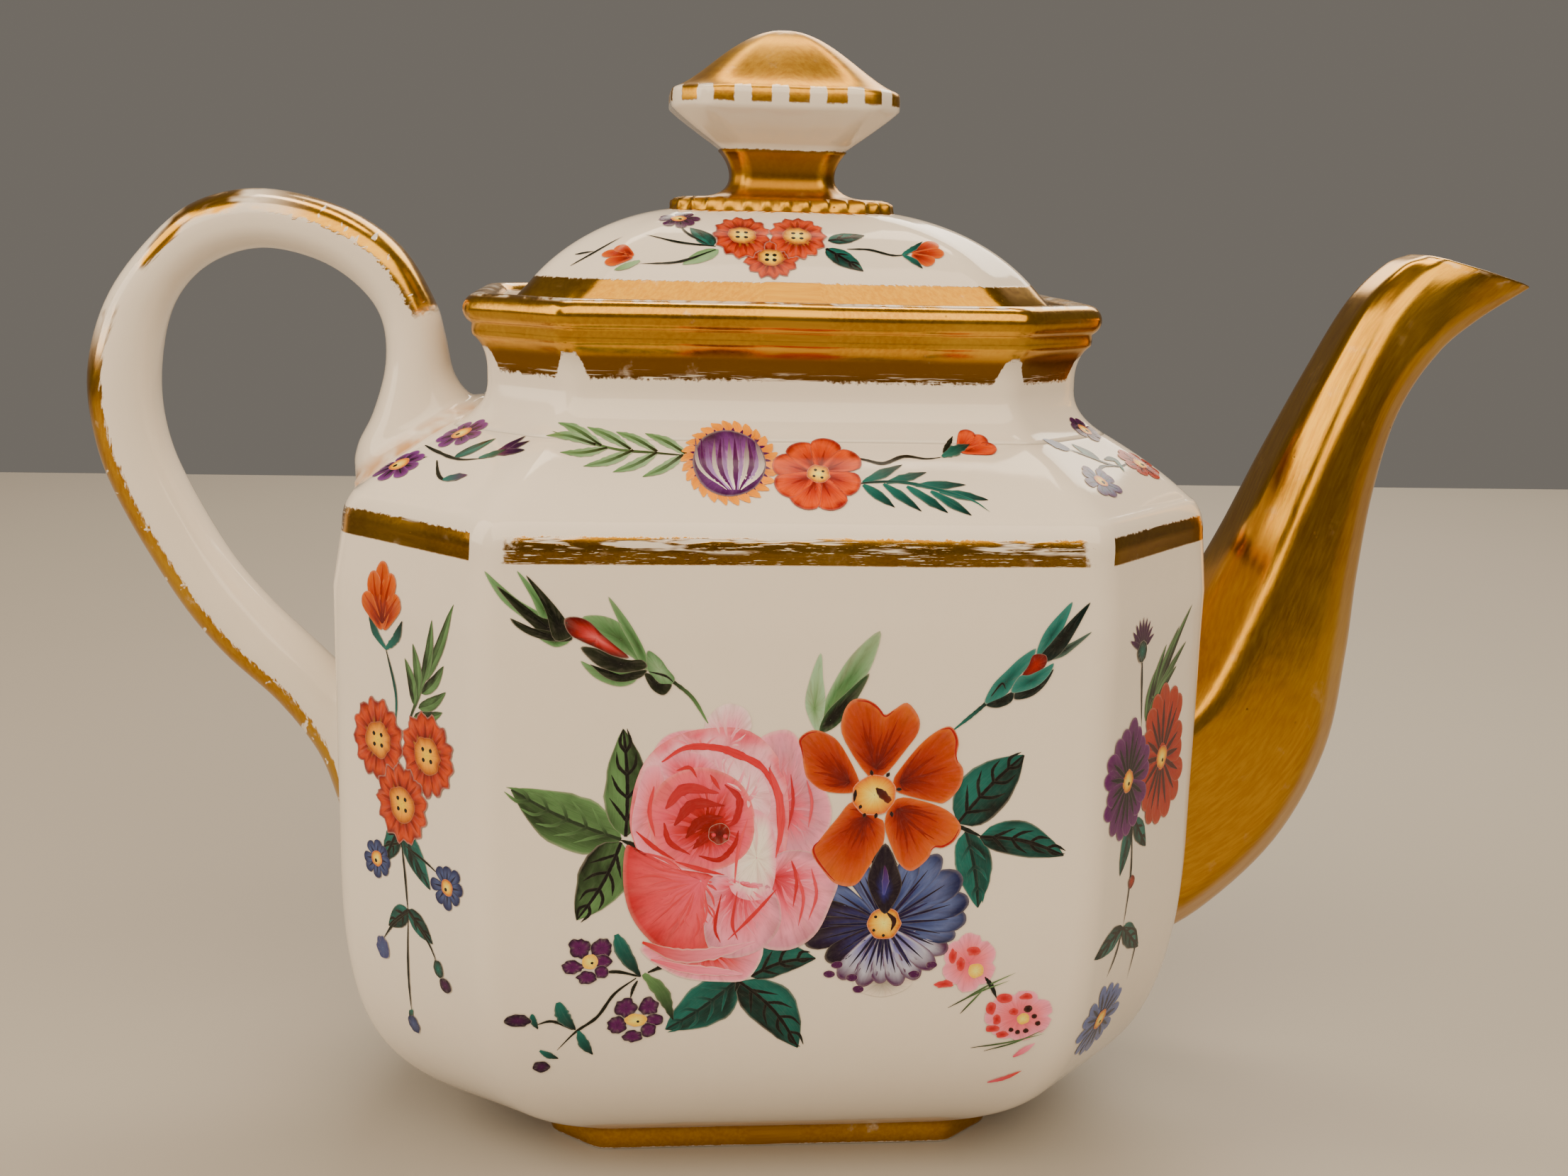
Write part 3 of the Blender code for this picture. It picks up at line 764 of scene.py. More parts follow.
def make_knob():
    """Plinth, waisted stem, faceted underside, dashed rim and domed cap in one skin."""
    fine = 56
    rings = []
    for depth, z, lobe in ((1.2, 70.5, 0.0), (0.05, 70.5, 0.0), (-0.02, 70.62, 0.05),
                           (0.0, 71.05, 0.2), (0.06, 71.25, 0.24), (0.3, 71.42, 0.2),
                           (0.9, 71.55, 0.06)):
        rings.append(scalloped(ring(inset(LID_TOP, depth + lobe), z, 0.7, fine), lobe,
                               PLINTH_LOBE_PITCH))
    stem = bezier([(5.9, 71.6), (3.9, 71.75), (3.35, 72.9), (4.1, 74.3), (4.75, 75.0)], 14)
    rings += [ring(KNOB_RIM * x / KNOB_RIM[0], z, 0.5, fine) for x, z in stem]
    under = bezier([(4.72, 75.12), (6.3, 76.3), (8.05, 77.5), (8.48, 78.0)], 8)
    rings += [ring(KNOB_RIM * x / KNOB_RIM[0], z, 0.8, fine) for x, z in under]
    rim = [(8.52, 78.2), (8.54, 78.6), (8.52, 79.0), (8.45, 79.25)]
    rings += [ring(KNOB_RIM * x / KNOB_RIM[0], z, 1.0, fine) for x, z in rim]
    cap = bezier([(8.3, 79.4), (6.0, 80.25), (3.6, 83.55), (0.5, 83.8)], 22)
    rings += [ring(KNOB_RIM * x / KNOB_RIM[0], z, min(1.4, 0.35 + 0.2 * x), fine) for x, z in cap]
    knob = skin("knob_gilt", uneven(rings, 0.05, 4.0), caps=True)

    def knob_gold(shade, vector, u, v, w, streak):
        ragged = shade.ragged(streak, 0.3)
        height = shade.plus(v, ragged)
        low = shade.rest(shade.step(height, 75.0, 75.12))
        phase = shade.times(u, math.tau / 2.75)
        wave = shade.math("SINE", phase)
        dash = shade.step(shade.plus(wave, shade.times(ragged, 1.5)), -0.25, 0.0)
        dash_band = shade.times(shade.between(height, 78.35, 79.4, 0.08), dash)
        tongue = shade.plus(height, shade.times(dash, 0.5))
        cap_mask = shade.step(tongue, 79.45, 79.6)
        top = shade.times(shade.step(v, 83.3, 83.7), shade.step(streak, 0.45, 0.65))
        cap_mask = shade.times(cap_mask, shade.rest(shade.times(top, 0.7)))
        return shade.math("MAXIMUM", low, shade.math("MAXIMUM", dash_band, cap_mask))

    # painted shade: the stem's faces under the knob's head darkened, their rounded corners left in full
    # gold
    def shaded_stem_faces(shade, v, w):
        return shade.times(shade.between(v, 71.9, 75.2, 0.3),
                           shade.times(shade.step(w, 0.1, 0.6), 0.75))

    knob.data.materials.append(gilt_over_glaze("knob_gilding", knob_gold, wear=0.2, painted_shade=shaded_stem_faces,
                                               satin=0.13))
    return knob


body = make_body()
tree = BVHTree.FromPolygons([v.co for v in body.data.vertices],
                            [p.vertices for p in body.data.polygons])
neck = make_neck()
foot = make_foot()
handle = make_handle(tree)
spout = make_spout(tree)
lid = make_lid()
knob = make_knob()

for piece, carrier, nodes, slot in (
    (body, "pot", ["body_shell"], "glazed_porcelain"),
    (neck, "pot", ["neck_collar"], "gilt_rim"),
    (foot, "pot", ["foot_ring"], "gilding"),
    (handle, "pot", ["handle"], "glazed_porcelain"),
    (spout, "pot", ["spout"], "gilding"),
    (lid, "lid", ["lid_dome", "lid_flange"], "glazed_porcelain"),
    (knob, "lid", ["knob_base", "knob_stem", "knob_head"], "gilding"),
):
    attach(piece, carrier)
    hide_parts(*nodes)


# --- painted flowers ---------------------------------------------------------------
# Every stroke is laid out on a flat panel in mm and cast onto the skin behind it.
BARE = (205, 185, 160)  # the glaze as the colours below see it
PIGMENT_DEPTH = 1.6
WIDEST = 0.45  # where along its length a stroke is broadest
PAINT_LIFT, LAYER_LIFT = 0.030, 0.006  # how far the paint stands off the glaze, and each layer more
CAST_FROM, CAST_REACH = 0.012, 0.04  # metres: where a cast starts over the panel, how far it looks

OLIVE, OLIVE_DARK = (118, 134, 92), (40, 42, 24)
MOSS = (150, 158, 122)
TEAL, TEAL_DARK = (66, 112, 96), (14, 44, 36)
INK = (16, 18, 14)
ORANGE, AMBER, EMBER = (164, 80, 4), (184, 110, 16), (112, 34, 6)
YELLOW, STRAW = (224, 166, 46), (226, 196, 120)
BLUE, BLUE_DARK, LILAC = (100, 102, 118), (56, 56, 84), (176, 164, 158)
PURPLE, PURPLE_DARK = (98, 40, 82), (50, 18, 46)
PINK, ROSE, DEEP = (214, 150, 148), (202, 110, 112), (174, 58, 60)
MAUVE = (190, 138, 136)


def linear(value):
    value /= 255
    return value / 12.92 if value <= 0.04045 else ((value + 0.055) / 1.055) ** 2.4


def pigment(colour):
    """A colour seen beside the bare glaze, as light that the enamel gives back."""
    share = np.array([linear(c) / linear(w) for c, w in zip(colour, BARE)])
    deep = np.minimum(1.12, share) ** PIGMENT_DEPTH
    grey = deep.mean()
    return np.clip((grey + (deep - grey) * 1.12) * np.array(PORCELAIN), 0.002, 0.92)


def polar(centre, wide, tall, angle):
    """The point at this angle on an ellipse."""
    return (centre[0] + wide * math.cos(angle), centre[1] + tall * math.sin(angle))


def blend(a, b, share):
    return a + (b - a) * share


def ramp(stops, t):
    """The colour at t on a list of (place, pigment)."""
    if t <= stops[0][0]:
        return stops[0][1]
    for (t0, c0), (t1, c1) in zip(stops, stops[1:]):
        if t <= t1:
            return blend(c0, c1, (t - t0) / (t1 - t0))
    return stops[-1][1]


def stops(*colours):
    """Evenly spaced or (place, colour) entries as a ramp of pigments."""
    if isinstance(colours[0][1], tuple):
        return [(t, pigment(c)) for t, c in colours]
    last = max(1, len(colours) - 1)
    return [(i / last, pigment(c)) for i, c in enumerate(colours)]


def closed_outline(points, count):
    """A smooth closed outline of count points through the given ones."""
    rows = np.array(points, float)
    n = len(rows)
    result = []
    for k in range(count):
        s = k * n / count
        i, t = int(s), s - int(s)
        p0, p1, p2, p3 = (rows[(i + d) % n] for d in (-1, 0, 1, 2))
        result.append(catmull_rom(p0, p1, p2, p3, t))
    return np.array(result)


class Panel:
    """A bilinear patch over one wall: corner points in mm for the reach (u0..u1, v0..v1)."""

    def __init__(self, reach, low_left, low_right, high_left, high_right, out, mirrored=False):
        self.u0, self.u1, self.v0, self.v1 = reach
        self.corners = [Vector(p) for p in (low_left, low_right, high_left, high_right)]
        self.out = Vector(out).normalized()
        self.mirrored = mirrored

    def point(self, u, v):
        s = (u - self.u0) / (self.u1 - self.u0)
        t = (v - self.v0) / (self.v1 - self.v0)
        a, b, c, d = self.corners
        flat = a.lerp(b, s).lerp(c.lerp(d, s), t)
        if self.mirrored:
            flat = Vector((flat.x, -flat.y, flat.z))
        return flat

    def outward(self):
        return Vector((self.out.x, -self.out.y, self.out.z)) if self.mirrored else self.out


class Painting:
    """Collects strokes on one panel and turns them into one mesh on the skin."""

    def __init__(self, name, panel, surface, seed):
        self.name, self.panel, self.surface = name, panel, surface
        self.dice = random.Random(seed)
        self.verts, self.faces, self.colours, self.lays = [], [], [], []
        self.count = 0

    def grid(self, points, colours, lays, layer, around=False):
        """Adds rows of (u, v) points as a mesh patch."""
        self.count += 1
        lift = PAINT_LIFT + LAYER_LIFT * layer + 0.0002 * (self.count % 25)
        first = len(self.verts)
        rows, cols = len(points), len(points[0])
        out = self.panel.outward()
        for row in points:
            for u, v in row:
                place = in_frame(self.panel.point(u, v))
                hit, normal, _, _ = self.surface.ray_cast(place + out * CAST_FROM, -out, CAST_REACH)
                if hit is None:
                    hit, normal = place, out
                self.verts.append(hit + normal * (lift * MM))
        for i in range(rows - 1):
            for j in range(cols if around else cols - 1):
                j2 = (j + 1) % cols
                self.faces.append((first + i * cols + j, first + i * cols + j2,
                                   first + (i + 1) * cols + j2, first + (i + 1) * cols + j))
        self.colours += [c for row in colours for c in row]
        shift = self.dice.uniform(0, 60)
        self.lays += [(a + shift, b, shift) for row in lays for a, b in row]

    def petal(self, outline, focus, colours, layer=4, soft=0.55, streak=0.5, count=30):
        """A filled shape, shaded from its focus outwards, with brush streaks fanning out."""
        edge = closed_outline(outline, count)
        focus = np.array(focus, float)
        bare = np.array(PORCELAIN)
        seed = self.dice.uniform(0, 90)
        shares = (0.02, 0.22, 0.42, 0.6, 0.76, 0.9, 0.97, 1.03)
        points, shades, lays = [], [], []
        for t in shares:
            ring_points = focus + (edge - focus) * t
            row_colours, row_lays = [], []
            for k, point in enumerate(ring_points):
                arm = edge[k] - focus
                reach = float(np.hypot(*arm))
                angle = math.atan2(arm[1], arm[0])
                grain = noise.noise(Vector((angle * 3.6, t * 0.8, seed)))
                fine = noise.noise(Vector((angle * 11.0, t * 1.5, seed + 7)))
                shade = ramp(colours, min(1.0, max(0.0, t + 0.28 * grain * streak)))
                depth = 1 - streak * max(0.0, 0.55 * grain + 0.50 * fine)
                shade = shade * np.array([depth**0.6, depth, depth])
                shade = blend(shade, bare, soft * 0.35 * max(0.0, fine)) if t > 0.5 else shade
                if t > 1:
                    shade = blend(shade, bare, soft)
                row_colours.append(shade)
                row_lays.append((reach * t, angle * 1.6))
            points.append(ring_points.tolist())
            shades.append(row_colours)
            lays.append(row_lays)
        self.grid(points, shades, lays, layer, around=True)

    def streaks(self, outline, focus, colours, count, layer, reach=(0.30, 0.92), width=0.17):
        """Fine bristle strokes that fan out from the focus of a petal."""
        edge = closed_outline(outline, count)
        focus = np.array(focus, float)
        for k, end in enumerate(edge):
            a, b = reach[0] + self.dice.uniform(-0.15, 0.2), reach[1] - self.dice.uniform(0, 0.35)
            side = np.array([-(end - focus)[1], (end - focus)[0]]) * self.dice.uniform(-0.08, 0.08)
            middle = focus + (end - focus) * (a + b) / 2 + side
            tone = np.array([0.93, 0.74, 0.74]) if k % 4 else np.array([1.06, 1.12, 1.12])
            colour = np.minimum(0.92, ramp(colours, (a + b) / 2) * tone)
            self.stroke([focus + (end - focus) * a, middle, focus + (end - focus) * b],
                        width * self.dice.uniform(0.7, 1.4), colour, layer, ramp(colours, b),
                        (0.1, 0.1), 0.1)

    def disc(self, centre, radius, colours, layer=6, soft=0.5, wobble=0.08):
        """A round dot; the radius is one number, or two for an oval."""
        ru, rv = radius if isinstance(radius, tuple) else (radius, radius)
        count = 18 if max(ru, rv) > 0.6 else 11
        outline = []
        for k in range(count):
            a = math.tau * k / count
            r = 1 + self.dice.uniform(-wobble, wobble)
            outline.append(polar(centre, ru * r, rv * r, a))
        self.petal(outline, centre, colours, layer, soft, 0.25, count * 2)

    def stroke(self, path, width, colour, layer=7, end=None, taper=(0.25, 0.05), soft=0.12):
        """A brush stroke: a ribbon along a smooth path, thin at its ends."""
        path = np.array(path, float)
        straight = [path[0] + (path[-1] - path[0]) * k / 8 for k in range(9)]
        line = smooth_path(path, 7) if len(path) > 2 else straight
        end = colour if end is None else end
        start, stop = (c if isinstance(c, np.ndarray) else pigment(c) for c in (colour, end))
        bare = np.array(PORCELAIN)
        count = len(line)
        points, shades, lays, run = [], [], [], 0.0
        for i, p in enumerate(line):
            ahead = line[min(i + 1, count - 1)] - line[max(i - 1, 0)]
            ahead = ahead / max(1e-6, float(np.hypot(*ahead)))
            side = np.array([-ahead[1], ahead[0]])
            t = i / (count - 1)
            phase = 0.5 * t / WIDEST if t < WIDEST else 0.5 + 0.5 * (t - WIDEST) / (1 - WIDEST)
            swell = math.sin(math.pi * min(1.0, phase))
            ends = taper[0] if t < WIDEST else taper[1]
            half = 0.5 * width * (ends + (1 - ends) * swell) * (1 + 0.15 * self.dice.uniform(-1, 1))
            run += 0 if i == 0 else float(np.hypot(*(p - line[i - 1])))
            shade = blend(start, stop, t)
            row, row_colours, row_lays = [], [], []
            for k in (-1.0, -0.72, 0.0, 0.72, 1.0):
                row.append(tuple(p + side * half * k))
                row_colours.append(blend(shade, bare, soft) if abs(k) > 0.9 else shade)
                row_lays.append((run, half * k))
            points.append(row)
            shades.append(row_colours)
            lays.append(row_lays)
        self.grid(points, shades, lays, layer)

    def leaf(self, base, tip, widths, light, dark, layer=2, veins=5, bend=0.0, blunt=0.75):
        """A blade with one light and one dark half, a midrib and curved side veins."""
        base, tip = np.array(base, float), np.array(tip, float)
        along = tip - base
        length = float(np.hypot(*along))
        ahead = along / length
        side = np.array([-ahead[1], ahead[0]])
        pale, deep, bare = pigment(light), pigment(dark), np.array(PORCELAIN)
        seed = self.dice.uniform(0, 90)
        spine, points, shades, lays = [], [], [], []
        steps = 13
        for i in range(steps + 1):
            t = i / steps
            mid = base + along * t + side * bend * math.sin(math.pi * t)
            spine.append(mid)
            width = math.sin(math.pi * t**blunt) ** 0.8 if 0 < t < 1 else 0.03
            row, row_colours, row_lays = [], [], []
            for k in (-1.0, -0.9, -0.6, -0.3, -0.04, 0.04, 0.3, 0.6, 0.9, 1.0):
                reach = (widths[0] if k > 0 else widths[1]) * abs(k) * width
                reach *= 1 + 0.10 * noise.noise(Vector((t * 7, k, seed)))
                row.append(tuple(mid + side * reach * (1 if k > 0 else -1)))
                grain = noise.noise(Vector((t * 5 - abs(k) * 1.4, k * 1.1, seed)))
                share = (0.25 if k > 0 else 0.72) + 0.5 * grain
                if abs(k) > 0.85:
                    share += 0.2
                shade = blend(pale, deep, min(1.0, max(0.0, share)))
                if abs(k) > 0.95:
                    shade = blend(shade, bare, 0.2)
                row_colours.append(shade)
                row_lays.append((t * length, reach * 1.5))
            points.append(row)
            shades.append(row_colours)
            lays.append(row_lays)
        self.grid(points, shades, lays, layer)
        if veins:
            vein = tuple(c * 0.55 for c in dark)
            self.stroke(spine[::3] + [spine[-1]], 0.26, vein, layer + 1, taper=(0.9, 0.2), soft=0.05)
            for k in range(veins):
                t = (k + 0.7) / (veins + 0.7)
                mid = base + along * t + side * bend * math.sin(math.pi * t)
                width = math.sin(math.pi * t**blunt) ** 0.8
                for sign, reach in ((1, widths[0]), (-1, widths[1])):
                    ahead_width = math.sin(math.pi * min(0.97, t + 0.2) ** blunt) ** 0.8
                    end = mid + ahead * length * 0.22 + side * sign * reach * ahead_width * 0.72
                    bow = mid + ahead * length * 0.09 + side * sign * reach * width * 0.40
                    self.stroke([mid, bow, end], 0.24, vein, layer + 1, dark, (0.9, 0.1), 0.05)

    def ray(self, centre, tip, width, colours, layer=4, start=0.1):
        """One petal of a daisy, widest near its rounded tip."""
        centre, tip = np.array(centre, float), np.array(tip, float)
        along = tip - centre
        side = np.array([-along[1], along[0]]) / max(1e-6, float(np.hypot(*along)))
        first = centre + along * start
        half = width / 2
        outline = [first - side * half * 0.3, centre + along * 0.45 - side * half * 0.75,
                   centre + along * 0.8 - side * half, centre + along * 0.96 - side * half * 0.55, tip,
                   centre + along * 0.96 + side * half * 0.55, centre + along * 0.8 + side * half,
                   centre + along * 0.45 + side * half * 0.75, first + side * half * 0.3]
        self.petal(outline, first + along * 0.12, colours, layer, 0.12, 0.55, 22)

    def bloom(self, centre, radii, lobes, depth, colours, layer=4, turn=0.0, pointed=False):
        """A round flower with a lobed edge and rings of colour."""
        outline = []
        count = lobes * 6
        for k in range(count):
            a = math.tau * k / count
            phase = (a * lobes / math.tau + turn) % 1.0
            dip = abs(phase - 0.5) * 2 if pointed else (2 * phase - 1) ** 4
            r = 1 - depth * dip + self.dice.uniform(-0.03, 0.03)
            outline.append(polar(centre, radii[0] * r, radii[1] * r, a))
        self.petal(outline, centre, colours, layer, 0.25, 0.45, count)

    def heart(self, centre, radius, layer):
        """The yellow eye of a flower, darker at its edge, with four dots."""
        self.disc(centre, radius, stops((0.0, STRAW), (0.6, YELLOW), (1.0, (170, 92, 20))), layer, 0.25)
        for k in range(4):
            a = 0.8 + math.tau * k / 4 + self.dice.uniform(-0.3, 0.3)
            spot = polar(centre, 0.5 * radius, 0.5 * radius, a)
            self.disc(spot, max(0.09, radius * 0.14), stops(INK, INK), layer + 1, 0.2)

    def finish(self, carrier, slot, material):
        """Makes the mesh of all the strokes, which rides on the carrier."""
        mesh = bpy.data.meshes.new(self.name)
        mesh.from_pydata([tuple(v) for v in self.verts], [], self.faces)
        colour = mesh.color_attributes.new("enamel", "FLOAT_COLOR", "POINT")
        opaque = np.column_stack([np.array(self.colours), np.ones(len(self.verts))])
        colour.data.foreach_set("color", opaque.astype(np.float32).ravel())
        lay = mesh.attributes.new("lay", "FLOAT_VECTOR", "POINT")
        lay.data.foreach_set("vector", np.array(self.lays, np.float32).ravel())
        out = self.panel.outward()
        for poly in mesh.polygons:
            if poly.normal.dot(out) < 0:
                poly.flip()
        mesh.shade_smooth()
        ob = bpy.data.objects.new(self.name, mesh)
        bpy.context.collection.objects.link(ob)
        mesh.materials.append(material)
        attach(ob, carrier)
        return ob


# --- the front bouquet --------------------------------------------------------------
def rose(p):
    pale, light, full = (228, 184, 174), (222, 166, 158), (204, 120, 114)
    for outline, focus, colours, layer, soft, lines in (
        ([(-10.4, 20.4), (-8, 18.4), (-5, 17.9), (-3, 18.2), (-2.2, 20.6), (-5, 21.5), (-8, 21.2)],
         (-6, 20.6), ((0, DEEP), (0.5, (188, 80, 72)), (1, PINK)), 3, 0.6, 14),
        ([(-6.3, 36.2), (-5.8, 37.3), (-4.8, 37.9), (-3.6, 37.5), (-3.2, 36.3), (-4, 35),
          (-5.6, 34.9)], (-4.8, 35), ((0, ROSE), (0.5, PINK), (1, pale)), 3, 0.4, 10),
        ([(-9, 35.6), (-7.5, 36.1), (-5.4, 35.9), (-5, 35.1), (-6.2, 34.4), (-7.6, 34.4),
          (-9.6, 34.4)], (-6.5, 34.7), ((0, ROSE), (0.4, full), (1, PINK)), 3, 0.4, 10),
        ([(-2.6, 35.2), (-1, 36), (0, 35.4), (0.7, 33.6), (1.9, 31.9), (2.4, 30.2), (2.0, 28.6),
          (0.9, 27.0), (-0.6, 27.4), (-1.0, 30.4), (-1.4, 33)], (-1.0, 30.6),
         ((0, DEEP), (0.3, ROSE), (0.7, MAUVE), (1, PINK)), 3, 0.35, 26),
        ([(-10.2, 33.8), (-8.8, 35.2), (-6.6, 36.0), (-3.4, 35.9), (-1.2, 33.6), (-0.6, 29.4),
          (-1.6, 25.2), (-5.6, 24.2), (-9.2, 25.6), (-11, 28.6), (-11, 31.4)], (-5.4, 29.6),
         ((0, DEEP), (0.3, (198, 96, 86)), (0.65, PINK), (0.85, light), (1, ROSE)), 4, 0.15, 40),
        ([(-9.2, 33.4), (-8.6, 34.6), (-6.6, 34.4), (-5.3, 33.2), (-6.2, 32.4), (-8.2, 32.0)],
         (-7.2, 32.4), ((0, (186, 76, 66)), (0.6, ROSE), (1, PINK)), 5, 0.2, 12),
        ([(-5, 34.0), (-3.0, 33.6), (-1.9, 31.8), (-2.0, 30.0), (-3.6, 30.4), (-4.8, 32)],
         (-3.4, 31.6), ((0, pale), (1, light)), 5, 0.2, 8),
        ([(-10.9, 31.2), (-10.2, 33.4), (-9.0, 33.2), (-9.2, 30.4), (-9, 27.6), (-10.2, 27.0),
          (-11.1, 29)], (-9.4, 30.4), ((0, DEEP), (0.4, full), (1, PINK)), 5, 0.2, 14),
        ([(-1.2, 27.2), (1.2, 27.3), (2.9, 25.6), (2.5, 23.6), (1.4, 21.3), (-0.6, 20.3), (-2.8, 21.2),
          (-2.4, 24.6)], (-1.4, 25.6), ((0, DEEP), (0.35, ROSE), (0.8, PINK), (1, MAUVE)), 5, 0.3, 26),
        ([(-4.4, 25.0), (-4.4, 28.6), (-3.4, 30.4), (-1.9, 29.8), (-1.3, 27.2), (-1.6, 24.6),
          (-3, 24.0)], (-2.6, 27.0), ((0, (228, 202, 184)), (0.6, (226, 190, 176)), (1, PINK)), 6, 0.1,
         3),
        ([(-10, 30), (-9, 32.4), (-6.6, 33.4), (-4, 32.4), (-2.9, 30), (-3.4, 27.4), (-5.8, 26.2),
          (-8.8, 27.0)], (-5.8, 29.2), ((0, (130, 36, 28)), (0.28, (158, 54, 46)),
                                        (0.5, (182, 76, 70)), (0.75, ROSE), (1, full)), 6, 0.15, 34),
        ([(-11.4, 27.9), (-10.5, 27.3), (-8.3, 26.3), (-5.4, 25.6), (-5.2, 23.5), (-5.5, 21),
          (-6.8, 20.1), (-8.7, 20.3), (-10.2, 21.6), (-11.2, 23.3), (-11.6, 25.5)], (-6.4, 25.4),
         ((0, ROSE), (0.4, (200, 106, 104)), (0.75, (194, 96, 92)), (1, (176, 70, 66))), 6, 0.15, 34),
        ([(-5.8, 25.4), (-3.4, 25.4), (-1.6, 24.8), (-0.9, 22.4), (-2.2, 20.4), (-4.6, 19.8),
          (-6.0, 21.2)], (-3.8, 25.0), ((0, DEEP), (0.4, ROSE), (0.8, PINK), (1, MAUVE)), 6, 0.2, 26),
    ):
        p.petal(outline, focus, stops(*colours), layer, soft, 0.75, 40)
        p.streaks(outline, focus, stops(*colours), lines, layer + 1)
    p.stroke([(-10.4, 20.9), (-8, 19.9), (-5.5, 20.0), (-2.6, 20.8)], 1.1, (182, 72, 60), 8, PINK,
             (0.2, 0.2), 0.5)
    p.stroke([(-9.8, 19.6), (-7.5, 18.9), (-5, 18.6), (-3.4, 18.4)], 0.7, ROSE, 8, PINK, (0.2, 0.2),
             0.5)
    for path, width, colour in (
        ([(-9.2, 33.9), (-7.6, 34.9), (-5.5, 34.9), (-4, 34.4), (-2.5, 33.6), (-1.7, 32.4),
          (-1.3, 31)], 0.6, (178, 64, 56)),
        ([(-1.9, 33.5), (-1.2, 31.5), (-1.0, 29), (-1.3, 27)], 0.6, (186, 78, 70)),
        ([(-0.4, 33), (-0.2, 31), (-0.5, 29)], 0.25, (160, 50, 44)),
        ([(0.7, 32.6), (1.1, 31), (0.9, 29.2)], 0.25, (186, 96, 90)),
        ([(-8.9, 30.6), (-7.6, 32.0), (-5.3, 31.7)], 0.9, (160, 58, 50)),
        ([(-8.3, 29.4), (-7.0, 30.9), (-4.9, 30.8)], 0.85, (138, 42, 34)),
        ([(-7.5, 28.5), (-6.5, 29.7), (-5.0, 30.0)], 0.8, (116, 28, 22)),
        ([(-7.0, 27.7), (-6.2, 28.5), (-5.3, 29.0)], 0.7, (124, 32, 26)),
        ([(-4.9, 32.3), (-3.9, 31.3), (-4.1, 29.8), (-4.8, 29.2)], 0.55, (150, 46, 40)),
        ([(-6.6, 27.2), (-5.2, 26.9), (-4.2, 27.9), (-3.9, 29)], 0.45, (144, 38, 28)),
        ([(-5.9, 33.0), (-5.2, 31.9)], 0.3, (170, 60, 50)),
        ([(-8.2, 33.3), (-7.3, 33.5), (-6.8, 32.8)], 0.3, (170, 60, 50)),
        ([(-10.9, 29), (-9.6, 27.8), (-8.2, 26.9)], 0.35, (164, 50, 40)),
        ([(-8.2, 26.8), (-6.4, 26.2), (-4.8, 25.8)], 0.35, (176, 62, 54)),
        ([(-5, 24.4), (-5.4, 22), (-5, 20.8)], 0.25, (156, 46, 38)),
        ([(-3.9, 24.6), (-4.2, 22.3), (-3.8, 21.0)], 0.25, (172, 62, 54)),
        ([(-1.2, 24.7), (-2.8, 22.8), (-4.5, 21)], 0.3, (176, 62, 54)),
        ([(-0.2, 26.8), (0.2, 25.4), (0, 23.4)], 0.3, (170, 60, 52)),
        ([(0.2, 25.9), (0.7, 24), (0.4, 22.0)], 0.25, (186, 86, 80)),
        ([(1.2, 26.2), (1.6, 24.3), (1.1, 22.4)], 0.25, (186, 90, 84)),
        ([(-9.0, 29.6), (-8.6, 28.2), (-7.2, 27.3)], 0.45, (150, 44, 34)),
        ([(-9.7, 32.2), (-10, 30.4), (-9.6, 28.6)], 0.35, (184, 78, 70)),
        ([(-4.1, 25.2), (-3.9, 27.6), (-3.3, 29.8)], 0.25, (196, 96, 88)),
    ):
        calm = tuple(0.68 * c + 0.32 * base for c, base in zip(colour, ROSE))
        p.stroke(path, width * 0.9, calm, 9, taper=(0.15, 0.1), soft=0.0)
    p.disc((-5.2, 28.8), 0.75, stops((0, (104, 22, 16)), (1, (140, 40, 32))), 10, 0.5)
    for spot in ((-5.6, 28.7), (-4.8, 28.6)):
        p.disc(spot, 0.15, stops(ROSE, DEEP), 11, 0.2)


